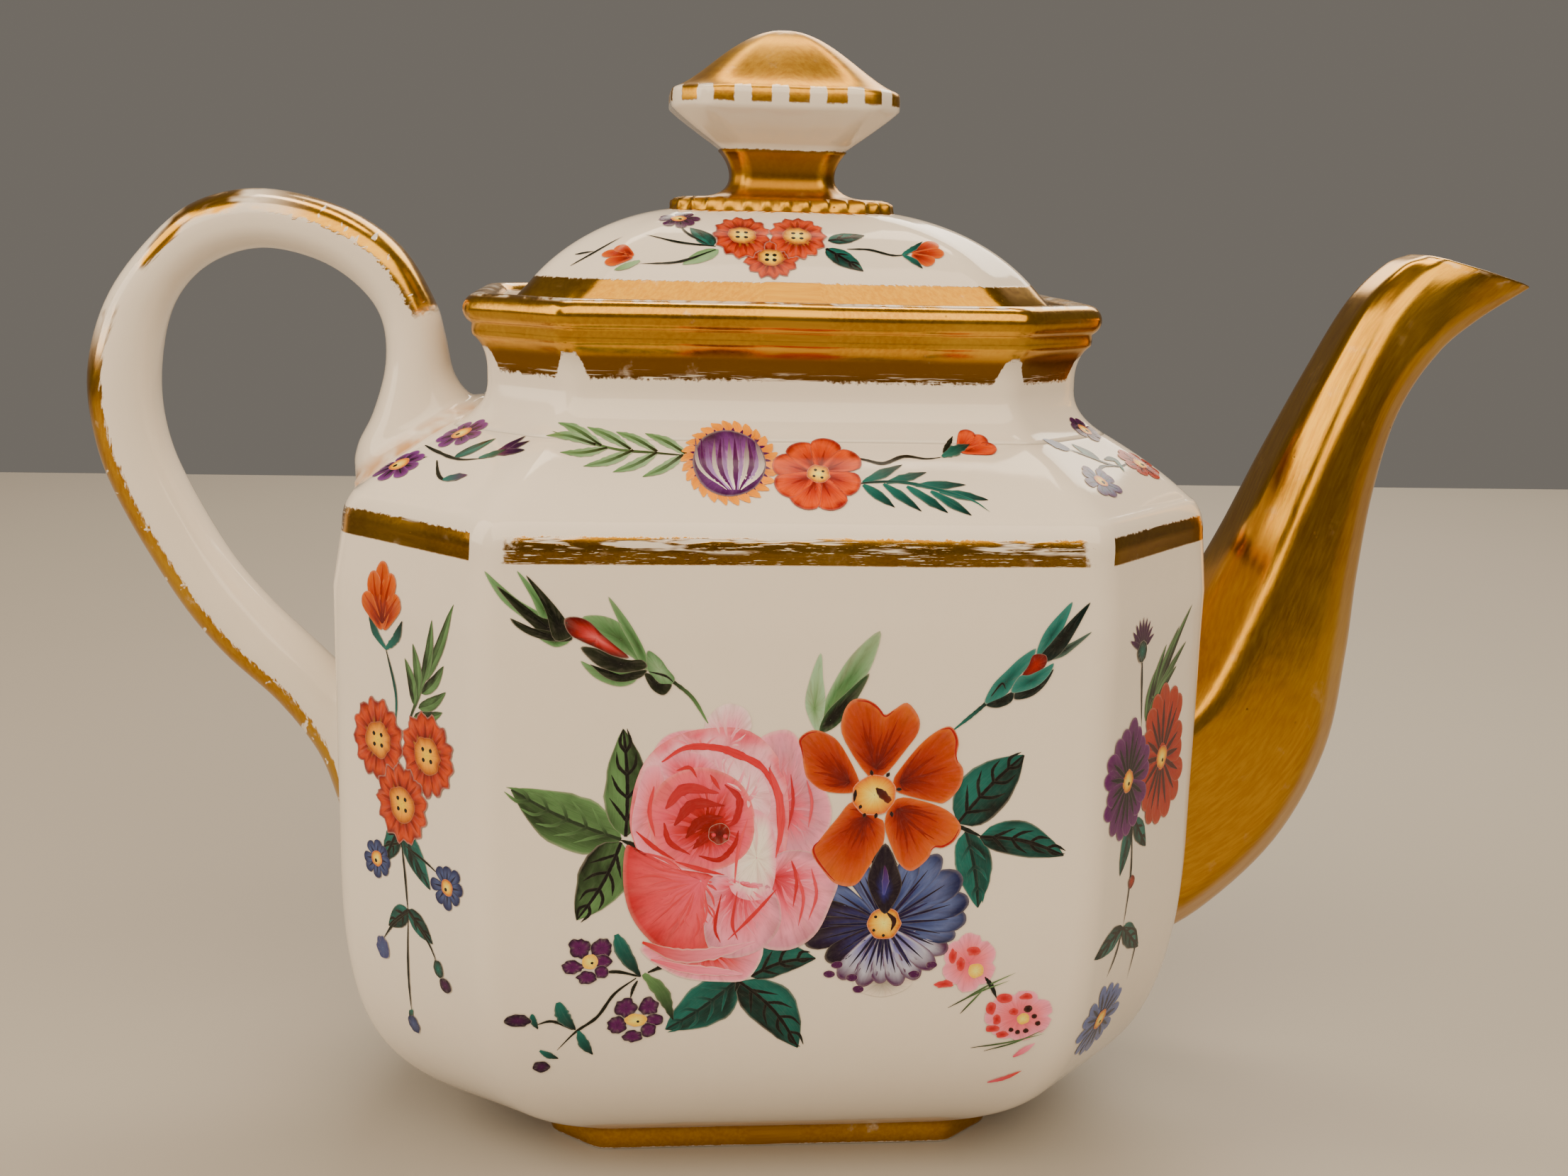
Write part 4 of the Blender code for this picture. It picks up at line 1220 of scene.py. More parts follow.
def orange_flower(p):
    warm = stops((0, EMBER), (0.3, (142, 58, 4)), (0.7, ORANGE), (0.95, (172, 92, 8)), (1, AMBER))
    light = stops((0, EMBER), (0.25, (146, 60, 4)), (0.6, ORANGE), (0.85, (178, 100, 12)), (1, AMBER))
    petals = (
        ([(4.3, 32.5), (3, 35), (2, 35.8), (1, 36), (0.2, 35.4), (0.4, 34.5), (0.6, 33.3), (0.9, 32.6),
          (2, 31.8), (3.9, 31.7)], (3.6, 32.4), warm),
        ([(5, 32.8), (3.2, 35.5), (3.1, 37), (3.6, 38), (4.4, 38.2), (5.3, 37.8), (5.9, 37.1),
          (6.6, 37.5), (7.4, 37.9), (8.2, 36.9), (8.2, 35.9), (7.5, 34.8), (6.1, 33)], (5.5, 33.4),
         warm),
        ([(6.7, 32.5), (7.1, 33.3), (8.4, 35), (9.6, 36), (10.5, 36.2), (11, 35.2), (10.9, 34.1),
          (11.4, 33.2), (11.2, 32), (10.3, 31), (9.5, 31), (7, 31.7)], (7.2, 32.4), warm),
        ([(7, 31.2), (8.8, 31), (10.5, 30.3), (11.4, 29.2), (11, 28.2), (10.2, 27.7), (9.6, 27.7),
          (9.2, 26.9), (8.2, 26.1), (7.4, 26.5), (6.8, 27.6), (6.2, 29.6)], (7.0, 30.4), light),
        ([(5.6, 29.9), (4, 31), (2.9, 29.8), (1.7, 28.2), (1.3, 27.4), (2.2, 26), (3, 25.2),
          (4.3, 25.1), (5.2, 26.4), (6.1, 28), (6.1, 29.5)], (4.9, 29.9), light),
    )
    for outline, focus, colours in petals:
        p.petal(outline, focus, colours, 5, 0.1, 0.6, 44)
        edge = closed_outline(outline, 15)
        for k, end in enumerate(edge):
            start, end = np.array(focus, float), np.array(end)
            if np.hypot(*(end - start)) < 1.6:
                continue
            reach = 0.42 + 0.4 * p.dice.random()
            shift = np.array([p.dice.uniform(-0.2, 0.2), p.dice.uniform(-0.2, 0.2)])
            p.stroke([start, start + (end - start) * reach * 0.5 + shift,
                      start + (end - start) * reach], 0.2, (108, 30, 6), 6, (150, 64, 6), (0.8, 0.1),
                     0.0)
        p.stroke([edge[k] for k in (4, 5, 6, 7, 8)], 0.16, (160, 60, 10), 6, taper=(0.2, 0.2))
    p.disc((5.4, 31.5), (1.5, 1.4), stops((0, STRAW), (0.55, YELLOW), (1, (190, 110, 24))), 8, 0.3)
    p.stroke([(5.5, 32), (6.1, 31.4), (6.5, 31)], 0.6, (70, 30, 8), 9, (120, 60, 14), (0.2, 0.6))
    for path in ([(4.1, 31.9), (4, 31)], [(4.5, 30.8), (4.4, 30.5)], [(4.8, 30.2), (4.7, 29.9)],
                 [(5.6, 30.2), (5.5, 29.8)], [(6.6, 30.3), (6.7, 29.9)], [(6.9, 31.9), (7.3, 31.9)],
                 [(5.2, 32.9), (5.1, 33.3)], [(6.2, 32.8), (6.4, 33.1)]):
        p.stroke(path, 0.26, (60, 24, 8), 9)


def blue_daisy(p):
    centre = (6.4, 22.1)
    p.petal([(4.6, 17.2), (6.5, 16.5), (8.4, 17.3), (8, 18.6), (5, 18.6)], (6.5, 17.6),
            stops((0, (150, 136, 116)), (1, BARE)), 3, 0.8)
    slate = stops((0, BLUE_DARK), (0.35, (88, 90, 114)), (0.75, (114, 114, 130)), (1, BLUE_DARK))
    deep = stops((0, BLUE_DARK), (0.45, (78, 70, 96)), (0.75, (58, 34, 60)), (1, PURPLE_DARK))
    pale = stops((0, BLUE_DARK), (0.3, (134, 124, 148)), (0.7, LILAC), (1, PURPLE))
    for tip, width, colours in (
        ((2.3, 24.9), 1.5, slate), ((1.8, 23.3), 1.5, deep), ((1.2, 22), 1.3, deep),
        ((1.0, 20.7), 1.5, deep),
        ((2.5, 19.4), 1.5, deep), ((3.6, 27), 1.3, slate), ((3.5, 18), 1.5, pale),
        ((5, 17.4), 1.6, pale),
        ((6.3, 17.6), 1.4, pale), ((7.6, 17.4), 1.5, pale), ((8.9, 17.9), 1.5, pale),
        ((10.0, 18.7), 1.5, pale),
        ((10.9, 20.0), 1.6, pale), ((11.4, 21.1), 1.5, slate), ((12.1, 22.4), 1.9, slate),
        ((12.2, 23.8), 1.9, slate),
        ((11.6, 25.6), 2.2, slate), ((10.1, 27), 1.6, slate), ((8.3, 26.9), 1.6, slate),
        ((4.6, 26.4), 1.3, slate),
    ):
        p.ray(centre, tip, width, colours, 4)
        p.stroke([centre, tuple(np.array(centre) + (np.array(tip) - centre) * 0.8)], 0.2, (44, 38, 78),
                 5, PURPLE_DARK, (0.6, 0.1), 0.15)
    p.stroke([(5.4, 26.6), (6.3, 27.5), (7.2, 26.4)], 0.45, PURPLE_DARK, 6)
    for end in ((8.5, 18.8), (4.8, 19), (6, 18.9), (6.8, 19), (9, 21.2), (4, 20.5), (9.4, 23.6),
                (8.8, 25)):
        p.stroke([centre, end], 0.26, PURPLE_DARK, 6, (60, 44, 84), (0.7, 0.1))
    for spot in ((2.7, 18.3), (4.3, 18.0), (4.8, 17.1), (3.2, 19), (9.9, 18.9), (8.7, 18.2)):
        p.disc(spot, (0.4, 0.28), stops(PURPLE, PURPLE), 6, 0.5)
    p.disc(centre, 1.15, stops((0, STRAW), (0.6, YELLOW), (1, (176, 104, 24))), 8, 0.3)
    p.stroke([(6.6, 22.9), (7.1, 22.3), (6.9, 21.5)], 0.35, (70, 34, 10), 9)
    for spot in ((5.7, 21.6), (5.8, 22.6), (6.4, 21.2)):
        p.disc(spot, 0.11, stops(INK, INK), 9, 0.3)


def pink_blossoms(p):
    cloud = stops((0, ROSE), (0.5, (208, 128, 122)), (1, PINK))
    red = stops((0, (172, 56, 52)), (1, (192, 92, 84)))
    p.bloom((12.6, 19), (1.9, 2.2), 6, 0.14, cloud, 3)
    p.bloom((16.5, 14.7), (2.4, 2.0), 7, 0.14, cloud, 3)
    for spot, size in (((11.4, 19.5), (0.3, 0.6)), ((12, 18.9), (0.3, 0.55)),
                       ((12.9, 19.9), (0.5, 0.35)), ((10.9, 17.4), (0.65, 0.3)),
                       ((15.3, 16.2), (0.6, 0.35)), ((14.4, 15.4), (0.35, 0.5)),
                       ((14.9, 14.5), (0.3, 0.45)), ((14.6, 13.7), (0.5, 0.3)),
                       ((15.4, 13.2), (0.45, 0.3)), ((16.1, 15.1), (0.35, 0.3)),
                       ((16.9, 16.3), (0.5, 0.25))):
        p.disc(spot, size, red, 6, 0.4, wobble=0.15)
    p.disc((13.1, 18.4), 0.55, stops(STRAW, YELLOW), 7)
    p.disc((16.8, 14.5), 0.45, stops(STRAW, YELLOW), 7)
    for spot, size in (((17.1, 15.3), 0.3), ((17.6, 14.7), 0.2), ((17.9, 14.1), 0.2),
                       ((16.5, 13.4), 0.18), ((16, 13.6), 0.18), ((17.1, 13.5), 0.2)):
        p.disc(spot, size, stops((52, 22, 14), (90, 40, 26)), 8, 0.3)
    p.stroke([(13.8, 17.9), (14.3, 17.2), (14.8, 16.1)], 0.35, TEAL_DARK, 5)
    for path in ([(12, 15.9), (14, 17.2), (16, 18.2)], [(11.3, 15.5), (13.4, 16.7), (15.6, 17.6)],
                 [(12.2, 15), (13, 16), (14, 17.2)], [(13.2, 12.1), (15.8, 12.5), (18.5, 13.2)],
                 [(14.2, 11.8), (16.4, 12.5), (18.5, 13.6)]):
        p.stroke(path, 0.14, OLIVE_DARK, 5, OLIVE)
    p.stroke([(16.4, 11.2), (17.9, 12.4)], 0.5, ROSE, 5, PINK)
    p.stroke([(14.8, 8.8), (16, 9.2), (17.2, 9.9)], 0.4, ROSE, 5, (190, 90, 70))


def front_leaves(p):
    p.leaf((-11.9, 28.4), (-19.3, 32.0), (2.1, 1.9), OLIVE_DARK, OLIVE, 1, 5, 0.3)
    p.leaf((-11.6, 28.6), (-11.8, 36.2), (1.6, 1.5), OLIVE, OLIVE_DARK, 1, 4, -0.2)
    p.leaf((-11.9, 28.2), (-14.9, 22.6), (1.6, 1.9), OLIVE, OLIVE_DARK, 1, 4, 0.3)
    p.stroke([(-9.6, 27.6), (-11, 28), (-12, 28.4)], 0.4, OLIVE_DARK, 2)
    p.leaf((11.3, 29.4), (15.7, 34.3), (1.9, 1.8), TEAL, TEAL_DARK, 1, 4, 0.2)
    p.leaf((12.9, 28.4), (18.9, 27), (1.4, 1.2), TEAL, TEAL_DARK, 1, 4, 0.4)
    p.leaf((11.9, 28.8), (13.0, 23.2), (1.3, 1.3), TEAL_DARK, TEAL, 1, 3, 0.2)
    p.stroke([(11.2, 29.3), (12, 28.9), (13.1, 28.4)], 0.35, TEAL_DARK, 2)
    p.leaf((-3.8, 17.9), (-8.7, 14.1), (1.7, 1.7), TEAL_DARK, TEAL, 1, 4, 0.2)
    p.leaf((-3.6, 17.8), (0.7, 12.4), (1.8, 1.6), TEAL, TEAL_DARK, 1, 4, 0.5)
    p.leaf((-2.8, 18.2), (1.7, 19.5), (1.7, 0.9), TEAL, TEAL_DARK, 2, 3, 0.4)
    p.stroke([(-3.9, 18.6), (-3.7, 17.8), (-3.9, 17)], 0.4, TEAL_DARK, 2)
    for outline, focus, colours, layer in (
        ([(1.4, 36.0), (1.6, 37.5), (2.3, 39.3), (3.5, 41.3), (5.3, 42.9), (5.0, 41.0), (4.2, 39.3),
          (2.9, 37.0)], (2.2, 37.6), ((0, OLIVE), (0.5, (104, 126, 86)), (1, MOSS)), 2),
        ([(1.4, 36.0), (0.5, 37.7), (0.7, 39.5), (1.4, 41.4), (1.6, 39.8), (1.8, 38.0)], (1.1, 37.6),
         ((0, OLIVE), (0.5, MOSS), (1, (160, 168, 134))), 2),
        ([(1.5, 36.0), (1.9, 37.3), (3.1, 38.6), (4.7, 40.0), (3.8, 38.0), (2.6, 36.4)], (2.2, 36.8),
         ((0, INK), (0.5, OLIVE_DARK), (1, (74, 92, 62))), 3),
    ):
        p.petal(outline, focus, stops(*colours), layer, 0.25, 0.5, 30)


def front_buds(p):
    green = ((0, (84, 98, 62)), (0.5, (104, 124, 84)), (1, (128, 142, 102)))
    shade = ((0, INK), (0.5, OLIVE_DARK), (1, (56, 60, 36)))
    sea = ((0, (48, 88, 76)), (0.5, TEAL), (1, (88, 126, 110)))
    night = ((0, INK), (0.5, TEAL_DARK), (1, (24, 56, 48)))
    for outline, focus, colours, layer in (
        ([(-20.9, 46.8), (-20.0, 46.1), (-18.7, 45.0), (-17.0, 43.9), (-17.2, 43.0), (-18.5, 43.9),
          (-19.9, 45.1)], (-18.4, 44.5), green, 2),
        ([(-20.1, 45.9), (-18.5, 44.8), (-17.3, 43.9), (-16.2, 43.6), (-15.4, 42.6), (-16.9, 42.6),
          (-17.9, 43.4), (-19.0, 44.5)], (-16.8, 43.2), shade, 3),
        ([(-18.8, 46.9), (-17.6, 45.6), (-16.4, 43.7), (-17.2, 43.7), (-17.9, 45.2)], (-17.1, 44.4),
         green, 2),
        ([(-18.2, 46.6), (-17.0, 45.4), (-16.0, 44.2), (-15.5, 43.4), (-15.3, 42.6), (-16.4, 42.4),
          (-16.9, 44.1), (-17.4, 45.2)], (-16.1, 43.3), shade, 4),
        ([(-17.4, 42.5), (-16.4, 42.4), (-15.5, 42.4), (-15.6, 42.1), (-16.4, 41.9)], (-16.4, 42.2),
         green, 2),
        ([(-19.2, 43.8), (-18.4, 43.3), (-16.9, 43.0), (-15.4, 42.7), (-15.4, 42.3), (-16.7, 42.3),
          (-18.0, 42.7), (-18.9, 43.3)], (-16.6, 42.6), shade, 4),
        ([(-14.5, 43.8), (-13.5, 44.0), (-12.4, 43.7), (-11.5, 43.0), (-10.8, 42.0), (-10.2, 40.9),
          (-10.3, 40.3), (-11.1, 41.1), (-12.2, 41.8), (-13.3, 42.7)], (-12.0, 42.4), green, 3),
        ([(-12.8, 45.2), (-11.7, 43.9), (-11.0, 42.8), (-10.4, 41.6), (-10.1, 40.5), (-10.5, 40.5),
          (-11.3, 42.0), (-12.0, 43.3)], (-10.8, 41.9), green, 4),
        ([(-15.7, 43.7), (-15.0, 43.9), (-14.1, 43.6), (-13.3, 42.8), (-12.5, 42.1), (-11.5, 41.2),
          (-12.5, 41.3), (-13.5, 41.8), (-14.6, 42.3), (-15.4, 42.8)], (-13.6, 42.5),
         ((0, (196, 118, 108)), (0.5, (168, 72, 62)), (0.8, (128, 28, 18)), (1, (106, 20, 12))), 5),
        ([(-14.6, 41.8), (-13.7, 41.8), (-12.6, 41.3), (-11.5, 41.0), (-10.6, 41.0), (-10.3, 40.5),
          (-11.3, 40.2), (-12.4, 40.2), (-13.6, 40.7)], (-12.0, 40.7), shade, 6),
        ([(-14.6, 40.9), (-13.3, 40.3), (-11.1, 40.2), (-11.1, 39.5), (-12.2, 39.2), (-13.7, 39.8)],
         (-12.5, 39.9), green, 3),
        ([(-14.0, 40.7), (-13.3, 40.2), (-12.2, 40.0), (-11.1, 40.2), (-10.3, 40.3), (-10.7, 39.8),
          (-11.9, 39.5), (-13.0, 39.8)], (-11.8, 39.9), shade, 5),
        ([(-10.2, 41.6), (-9.4, 41.1), (-8.9, 40.4), (-8.4, 39.7), (-8.9, 39.2), (-9.7, 39.7),
          (-10.2, 40.4)], (-9.4, 40.3), ((0, MOSS), (1, (112, 130, 92))), 4),
        ([(-10.4, 40.0), (-10.0, 40.0), (-9.4, 39.4), (-8.6, 39.3), (-9.1, 38.6), (-9.9, 39.0)],
         (-9.6, 39.3), shade, 5),
        ([(18.5, 45.0), (17.7, 44.3), (16.8, 43.2), (16.3, 42.0), (16.3, 41.2), (17.1, 42.0),
          (17.9, 43.2)], (17.2, 42.8), sea, 4),
        ([(19.7, 45.0), (18.8, 44.2), (17.9, 43.2), (17.2, 42.3), (16.4, 41.2), (17.1, 41.0),
          (18.0, 41.7), (18.7, 42.9), (19.3, 44.1)], (17.8, 42.4), night, 5),
        ([(19.9, 43.0), (18.8, 42.4), (17.5, 41.7), (17.0, 41.1), (18.0, 41.3), (18.9, 42.0)],
         (18.2, 41.8), ((0, TEAL_DARK), (1, (104, 112, 96))), 3),
        ([(16.0, 41.4), (16.8, 41.4), (16.9, 40.8), (16.3, 40.1), (15.3, 39.9), (15.7, 40.7)],
         (16.2, 40.7), ((0, (156, 62, 8)), (1, (116, 32, 6))), 5),
        ([(16.1, 41.8), (15.1, 41.2), (14.2, 40.3), (13.3, 39.3), (12.8, 38.1), (13.4, 38.1),
          (14.3, 38.7), (14.9, 39.7), (15.7, 40.7)], (14.2, 39.5), sea, 4),
        ([(17.4, 40.4), (16.9, 39.3), (16.0, 38.5), (14.9, 38.3), (15.0, 38.9), (16.3, 39.3)],
         (16.2, 39.0), night, 5),
        ([(17.4, 40.8), (17.1, 40.0), (16.3, 39.2), (15.1, 38.8), (14.6, 38.9), (15.1, 39.9),
          (15.8, 40.0), (16.8, 40.5)], (15.9, 39.6), sea, 6),
        ([(14.7, 38.8), (14.6, 38.1), (13.7, 37.7), (12.9, 37.9), (13.9, 38.4)], (14.0, 38.2), night,
         5),
    ):
        p.petal(outline, focus, stops(*colours), layer, 0.2, 0.5, 34)
    p.stroke([(-8.6, 39.6), (-7.2, 38.4), (-6.1, 36.6)], 0.28, OLIVE_DARK, 3, OLIVE, (0.8, 0.3))
    p.stroke([(-10.1, 40.2), (-9.0, 39.9), (-8.4, 39.4)], 0.16, OLIVE_DARK, 6)
    p.stroke([(13.1, 38.2), (12.0, 37.2), (10.7, 36.1)], 0.28, TEAL_DARK, 3, TEAL, (0.8, 0.3))
    p.stroke([(13.2, 38.5), (13.9, 39.4), (14.2, 39.0)], 0.16, TEAL_DARK, 6)


def small_flower(p, centre, petals, eye):
    colours = stops((0, PURPLE), (0.5, (112, 54, 92)), (1, PURPLE_DARK))
    for spot, size in petals:
        p.disc(spot, size, colours, 5, 0.45, wobble=0.14)
    p.disc(centre, eye, stops(STRAW, YELLOW), 7, 0.3)
    p.disc((centre[0] + 0.15, centre[1] - 0.1), 0.1, stops(INK, INK), 8, 0.3)


def left_spray(p):
    for path, width, colour, end in (
        ([(-12.2, 21.5), (-11.6, 20), (-10.5, 18.3)], 0.9, TEAL, TEAL_DARK),
        ([(-10.3, 18.5), (-9, 17), (-8.2, 14.9)], 0.8, OLIVE, TEAL_DARK),
        ([(-16.2, 16.4), (-15.8, 15.2), (-15, 14.2)], 0.8, TEAL, TEAL_DARK),
        ([(-14.8, 14.1), (-14.4, 13), (-13.8, 12.1)], 0.6, TEAL, TEAL_DARK),
        ([(-10.5, 18.3), (-12.2, 18.7), (-13.9, 18.5)], 0.2, OLIVE_DARK, OLIVE_DARK),
        ([(-10.8, 18.2), (-12.3, 17), (-13.5, 15.2), (-15, 14), (-16.3, 12.5)], 0.2, OLIVE_DARK,
         OLIVE_DARK),
        ([(-10.7, 18), (-11, 17.4), (-11.2, 16.6)], 0.2, OLIVE_DARK, OLIVE_DARK),
        ([(-15.2, 14.2), (-16.6, 14.9), (-17.8, 14.6)], 0.18, OLIVE_DARK, OLIVE_DARK),
        ([(-18, 15.5), (-17.9, 14.9), (-17.6, 14.3)], 0.4, TEAL, TEAL_DARK),
        ([(-17.5, 12.5), (-16.9, 12.1), (-16.2, 11.8)], 0.4, TEAL, TEAL_DARK),
        ([(-10, 18.6), (-8.6, 19.2), (-7.6, 19.4)], 0.3, OLIVE_DARK, TEAL_DARK),
    ):
        p.stroke(path, width * 1.25, colour, 3, end, (0.3, 0.1))
    small_flower(p, (-14, 19.5), (((-14.7, 20.5), 0.75), ((-13.2, 20.5), 0.75),
                                  ((-15.2, 19.1), (0.8, 0.5)), ((-13.1, 19.5), (0.6, 0.5)),
                                  ((-13.2, 18.7), (0.5, 0.5)), ((-14.2, 18.3), (0.7, 0.5))), 0.55)
    small_flower(p, (-10.8, 14.9), (((-11.5, 15.9), 0.75), ((-9.9, 16), 0.7), ((-12.1, 14.5), 0.7),
                                    ((-9.5, 14.9), (0.6, 0.5)), ((-9.9, 14.1), 0.55),
                                    ((-11, 13.6), (0.7, 0.5))), (0.75, 0.5))
    p.disc((-19, 15), (0.9, 0.5), stops(PURPLE, PURPLE_DARK), 5, 0.4)
    p.disc((-17.4, 11.1), (0.6, 0.5), stops(PURPLE, PURPLE_DARK), 5, 0.4)


def bouquet(p):
    front_leaves(p)
    front_buds(p)
    left_spray(p)
    blue_daisy(p)
    orange_flower(p)
    top = [(6.2, 23.0), (5.2, 25.0), (5.5, 26.6), (6.3, 27.9), (7.1, 26.4), (7.5, 24.8), (6.8, 23.2)]
    p.petal(top, (6.3, 24.4), stops((78, 72, 112), PURPLE_DARK, PURPLE_DARK), 8, 0.1, 0.5, 28)
    p.stroke([(6.3, 24.2), (6.4, 25.4), (6.3, 26.4)], 0.5, (96, 88, 124), 9, PURPLE)
    rose(p)
    pink_blossoms(p)


# --- the sprays on the cut corners ----------------------------------------------------
PRIMULA = ((0.0, YELLOW), (0.26, YELLOW), (0.42, (104, 26, 6)), (0.6, (162, 70, 5)),
           (0.85, (186, 96, 8)), (1.0, (138, 54, 8)))


def primula(p, centre, radii, eye, layer=5, core=((224, 178, 62), (208, 150, 34))):
    p.bloom(centre, radii, 13, 0.16, [(t, pigment(c)) for t, c in PRIMULA], layer, p.dice.random(),
            True)
    for k in range(13):
        a = math.tau * (k + p.dice.uniform(-0.2, 0.2)) / 13
        ends = [polar(centre, radii[0] * s, radii[1] * s, a) for s in (0.42, 0.82)]
        p.stroke(ends, 0.2, (120, 34, 8), layer + 1, ORANGE, (0.8, 0.1), 0.0)
    p.disc(centre, eye, stops((0, core[0]), (0.6, core[1]), (1, (158, 92, 14))), 8, 0.1)
    for k in range(4):
        a = 0.75 + math.tau * k / 4
        p.disc(polar(centre, 0.42 * eye[0], 0.42 * eye[1], a), 0.16, stops(INK, INK), 9, 0.2)


def star_flower(p, centre, radius, colours, count=9, eye=0.6, fill=4.4, layer=5):
    wide, tall = radius if isinstance(radius, tuple) else (radius, radius)
    radius = (wide + tall) / 2
    for k in range(count):
        a = math.tau * (k + p.dice.uniform(-0.2, 0.2)) / count
        reach = p.dice.uniform(0.88, 1.08)
        tip = polar(centre, wide * reach, tall * reach, a)
        p.ray(centre, tip, radius * fill / count, colours, layer)
        p.stroke([(centre[0] * 0.8 + tip[0] * 0.2, centre[1] * 0.8 + tip[1] * 0.2),
                  (centre[0] * 0.2 + tip[0] * 0.8, centre[1] * 0.2 + tip[1] * 0.8)],
                 max(0.12, radius * 0.09), ramp(colours, 0.0) * 0.6, layer + 1, taper=(0.8, 0.1))
    p.disc(centre, eye, stops((0, STRAW), (0.6, YELLOW), (1, (176, 100, 24))), 8, 0.3)
    p.disc((centre[0] + 0.2 * eye, centre[1] - 0.3 * eye), 0.14, stops(INK, INK), 9, 0.2)


def left_cant(p):
    p.stroke([(7.4, 35.4), (6.2, 37.6), (4.6, 40.6)], 0.35, OLIVE_DARK, 2, OLIVE)
    for root, tip in (((5.7, 38.4), (2.6, 44.3)), ((6.0, 38.0), (4.8, 42.9)),
                      ((6.4, 37.2), (6.9, 40.9)), ((6.8, 36.5), (7.8, 39.7)),
                      ((6.0, 37.5), (3.6, 39.9)), ((6.4, 36.4), (3.4, 38.1)),
                      ((6.9, 35.7), (3.8, 36.6))):
        p.leaf(root, tip, (0.42, 0.5), OLIVE, OLIVE_DARK, 2, 0, 0.25)
    p.stroke([(9.9, 40), (8.9, 37), (9, 34.5)], 0.3, TEAL_DARK, 3, TEAL)
    p.stroke([(9.9, 40), (11.2, 41.2), (11.7, 42.8)], 0.7, TEAL, 4, TEAL_DARK)
    p.stroke([(9.9, 40), (8.7, 41), (8, 42.3)], 0.7, TEAL, 4, TEAL_DARK)
    for tip in ((8.5, 43.9), (9.4, 45.3), (10.5, 46.0), (11.5, 45.2), (12.2, 43.6)):
        p.ray((10.2, 41.2), tip, 1.5, stops((0, EMBER), (0.5, ORANGE), (1, AMBER)), 5)
        p.stroke([(10.2, 41.8), tip], 0.22, EMBER, 6, ORANGE, (0.8, 0.1), 0.0)
    p.leaf((8.8, 27.2), (10.6, 24.2), (0.9, 0.9), TEAL, TEAL_DARK, 2, 3)
    p.leaf((8.6, 27.2), (5.4, 23.4), (1.0, 1.0), TEAL_DARK, TEAL, 2, 3)
    primula(p, (11, 33.2), (2.9, 3.1), (1.4, 1.3))
    primula(p, (5.5, 33.2), (2.9, 3.1), (1.4, 1.3))
    primula(p, (8.4, 29), (2.9, 3.0), (1.4, 1.3), 7)
    blue = stops((0, BLUE_DARK), (0.5, BLUE), (1, BLUE_DARK))
    star_flower(p, (11.4, 24.2), 1.6, blue, 8)
    star_flower(p, (3.5, 24.1), 1.7, blue, 8)
    p.leaf((8, 21.2), (10.4, 19.3), (0.8, 0.8), TEAL, TEAL_DARK, 2, 2)
    p.leaf((8, 21.2), (5.4, 19.3), (0.8, 0.8), TEAL, TEAL_DARK, 2, 2)
    for path in ([(8.6, 26.4), (8.2, 23.5), (8, 20.5)], [(8.6, 26), (10, 25.6), (11, 25)],
                 [(8.2, 26), (6, 25.4), (4.4, 24.8)], [(8, 21), (9.8, 19.6), (11.2, 18)],
                 [(8, 21), (6, 19.4), (5, 17.8)], [(8, 20.8), (8.6, 16), (9, 12.4)]):
        p.stroke(path, 0.22, OLIVE_DARK, 3, TEAL_DARK)
    p.disc((11.3, 17.3), (0.7, 0.9), stops(BLUE, (88, 84, 106)), 5)
    p.disc((5, 17.5), (0.5, 0.7), stops(TEAL, TEAL_DARK), 5)
    p.disc((4.4, 16.4), (0.6, 0.6), stops(PURPLE, PURPLE_DARK), 6)
    p.disc((9.1, 11.7), (0.6, 0.8), stops(BLUE, BLUE_DARK), 5)
    p.stroke([(8.8, 13), (9.4, 12.3)], 0.4, TEAL, 6, TEAL_DARK)


def right_cant(p):
    for tip in ((12.9, 42.9), (10.9, 41.6), (8.9, 40.6), (12.3, 40.2), (10.9, 38.6), (7.4, 39.0)):
        p.leaf((6.2, 35.4), tip, (0.4, 0.5), OLIVE, OLIVE_DARK, 2, 0, 0.3)
    for path in ([(4.9, 40.6), (5.2, 38), (5.6, 35)], [(5.2, 27), (5.4, 24), (5, 20)],
                 [(5, 20), (4.4, 18), (3.5, 16.5)], [(5.2, 20), (7.6, 18.6), (7.5, 15)],
                 [(4.2, 30), (5, 28), (5.2, 26)]):
        p.stroke(path, 0.24, OLIVE_DARK, 3, TEAL_DARK)
    for k in range(9):
        a = 0.35 + k * 0.3
        p.stroke([(4.7, 41), polar((4.7, 41), 2.0, 2.3, a)], 0.45, PURPLE_DARK, 5, PURPLE)
    p.disc((4.8, 40.8), (0.7, 0.8), stops(TEAL, TEAL_DARK), 6)
    star_flower(p, (9.3, 32.0), (3.8, 5.3), stops((0, EMBER), (0.5, (160, 66, 6)), (1, ORANGE)), 16,
                0.85, 6.4)
    star_flower(p, (3.8, 31.5), (3.4, 4.4), stops((0, PURPLE_DARK), (0.5, PURPLE),
                                                  (1, (118, 58, 100))), 17, 0.8, 6.4, 7)
    p.leaf((4.8, 28.2), (3.6, 24.4), (0.8, 0.8), TEAL_DARK, TEAL, 2, 2)
    p.leaf((5.4, 28.2), (7.6, 25.6), (0.8, 0.8), TEAL, TEAL_DARK, 2, 2)
    p.disc((5.6, 23.4), 0.5, stops(ORANGE, EMBER), 5)
    p.leaf((5, 20), (0.9, 18.8), (0.9, 0.9), TEAL, TEAL_DARK, 2, 3)
    p.leaf((5, 20), (8.3, 17.4), (0.9, 0.9), TEAL, TEAL_DARK, 2, 3)
    star_flower(p, (4.2, 12.8), 3.0, stops((0, BLUE_DARK), (0.4, BLUE), (1, (120, 120, 140))), 13, 0.8)


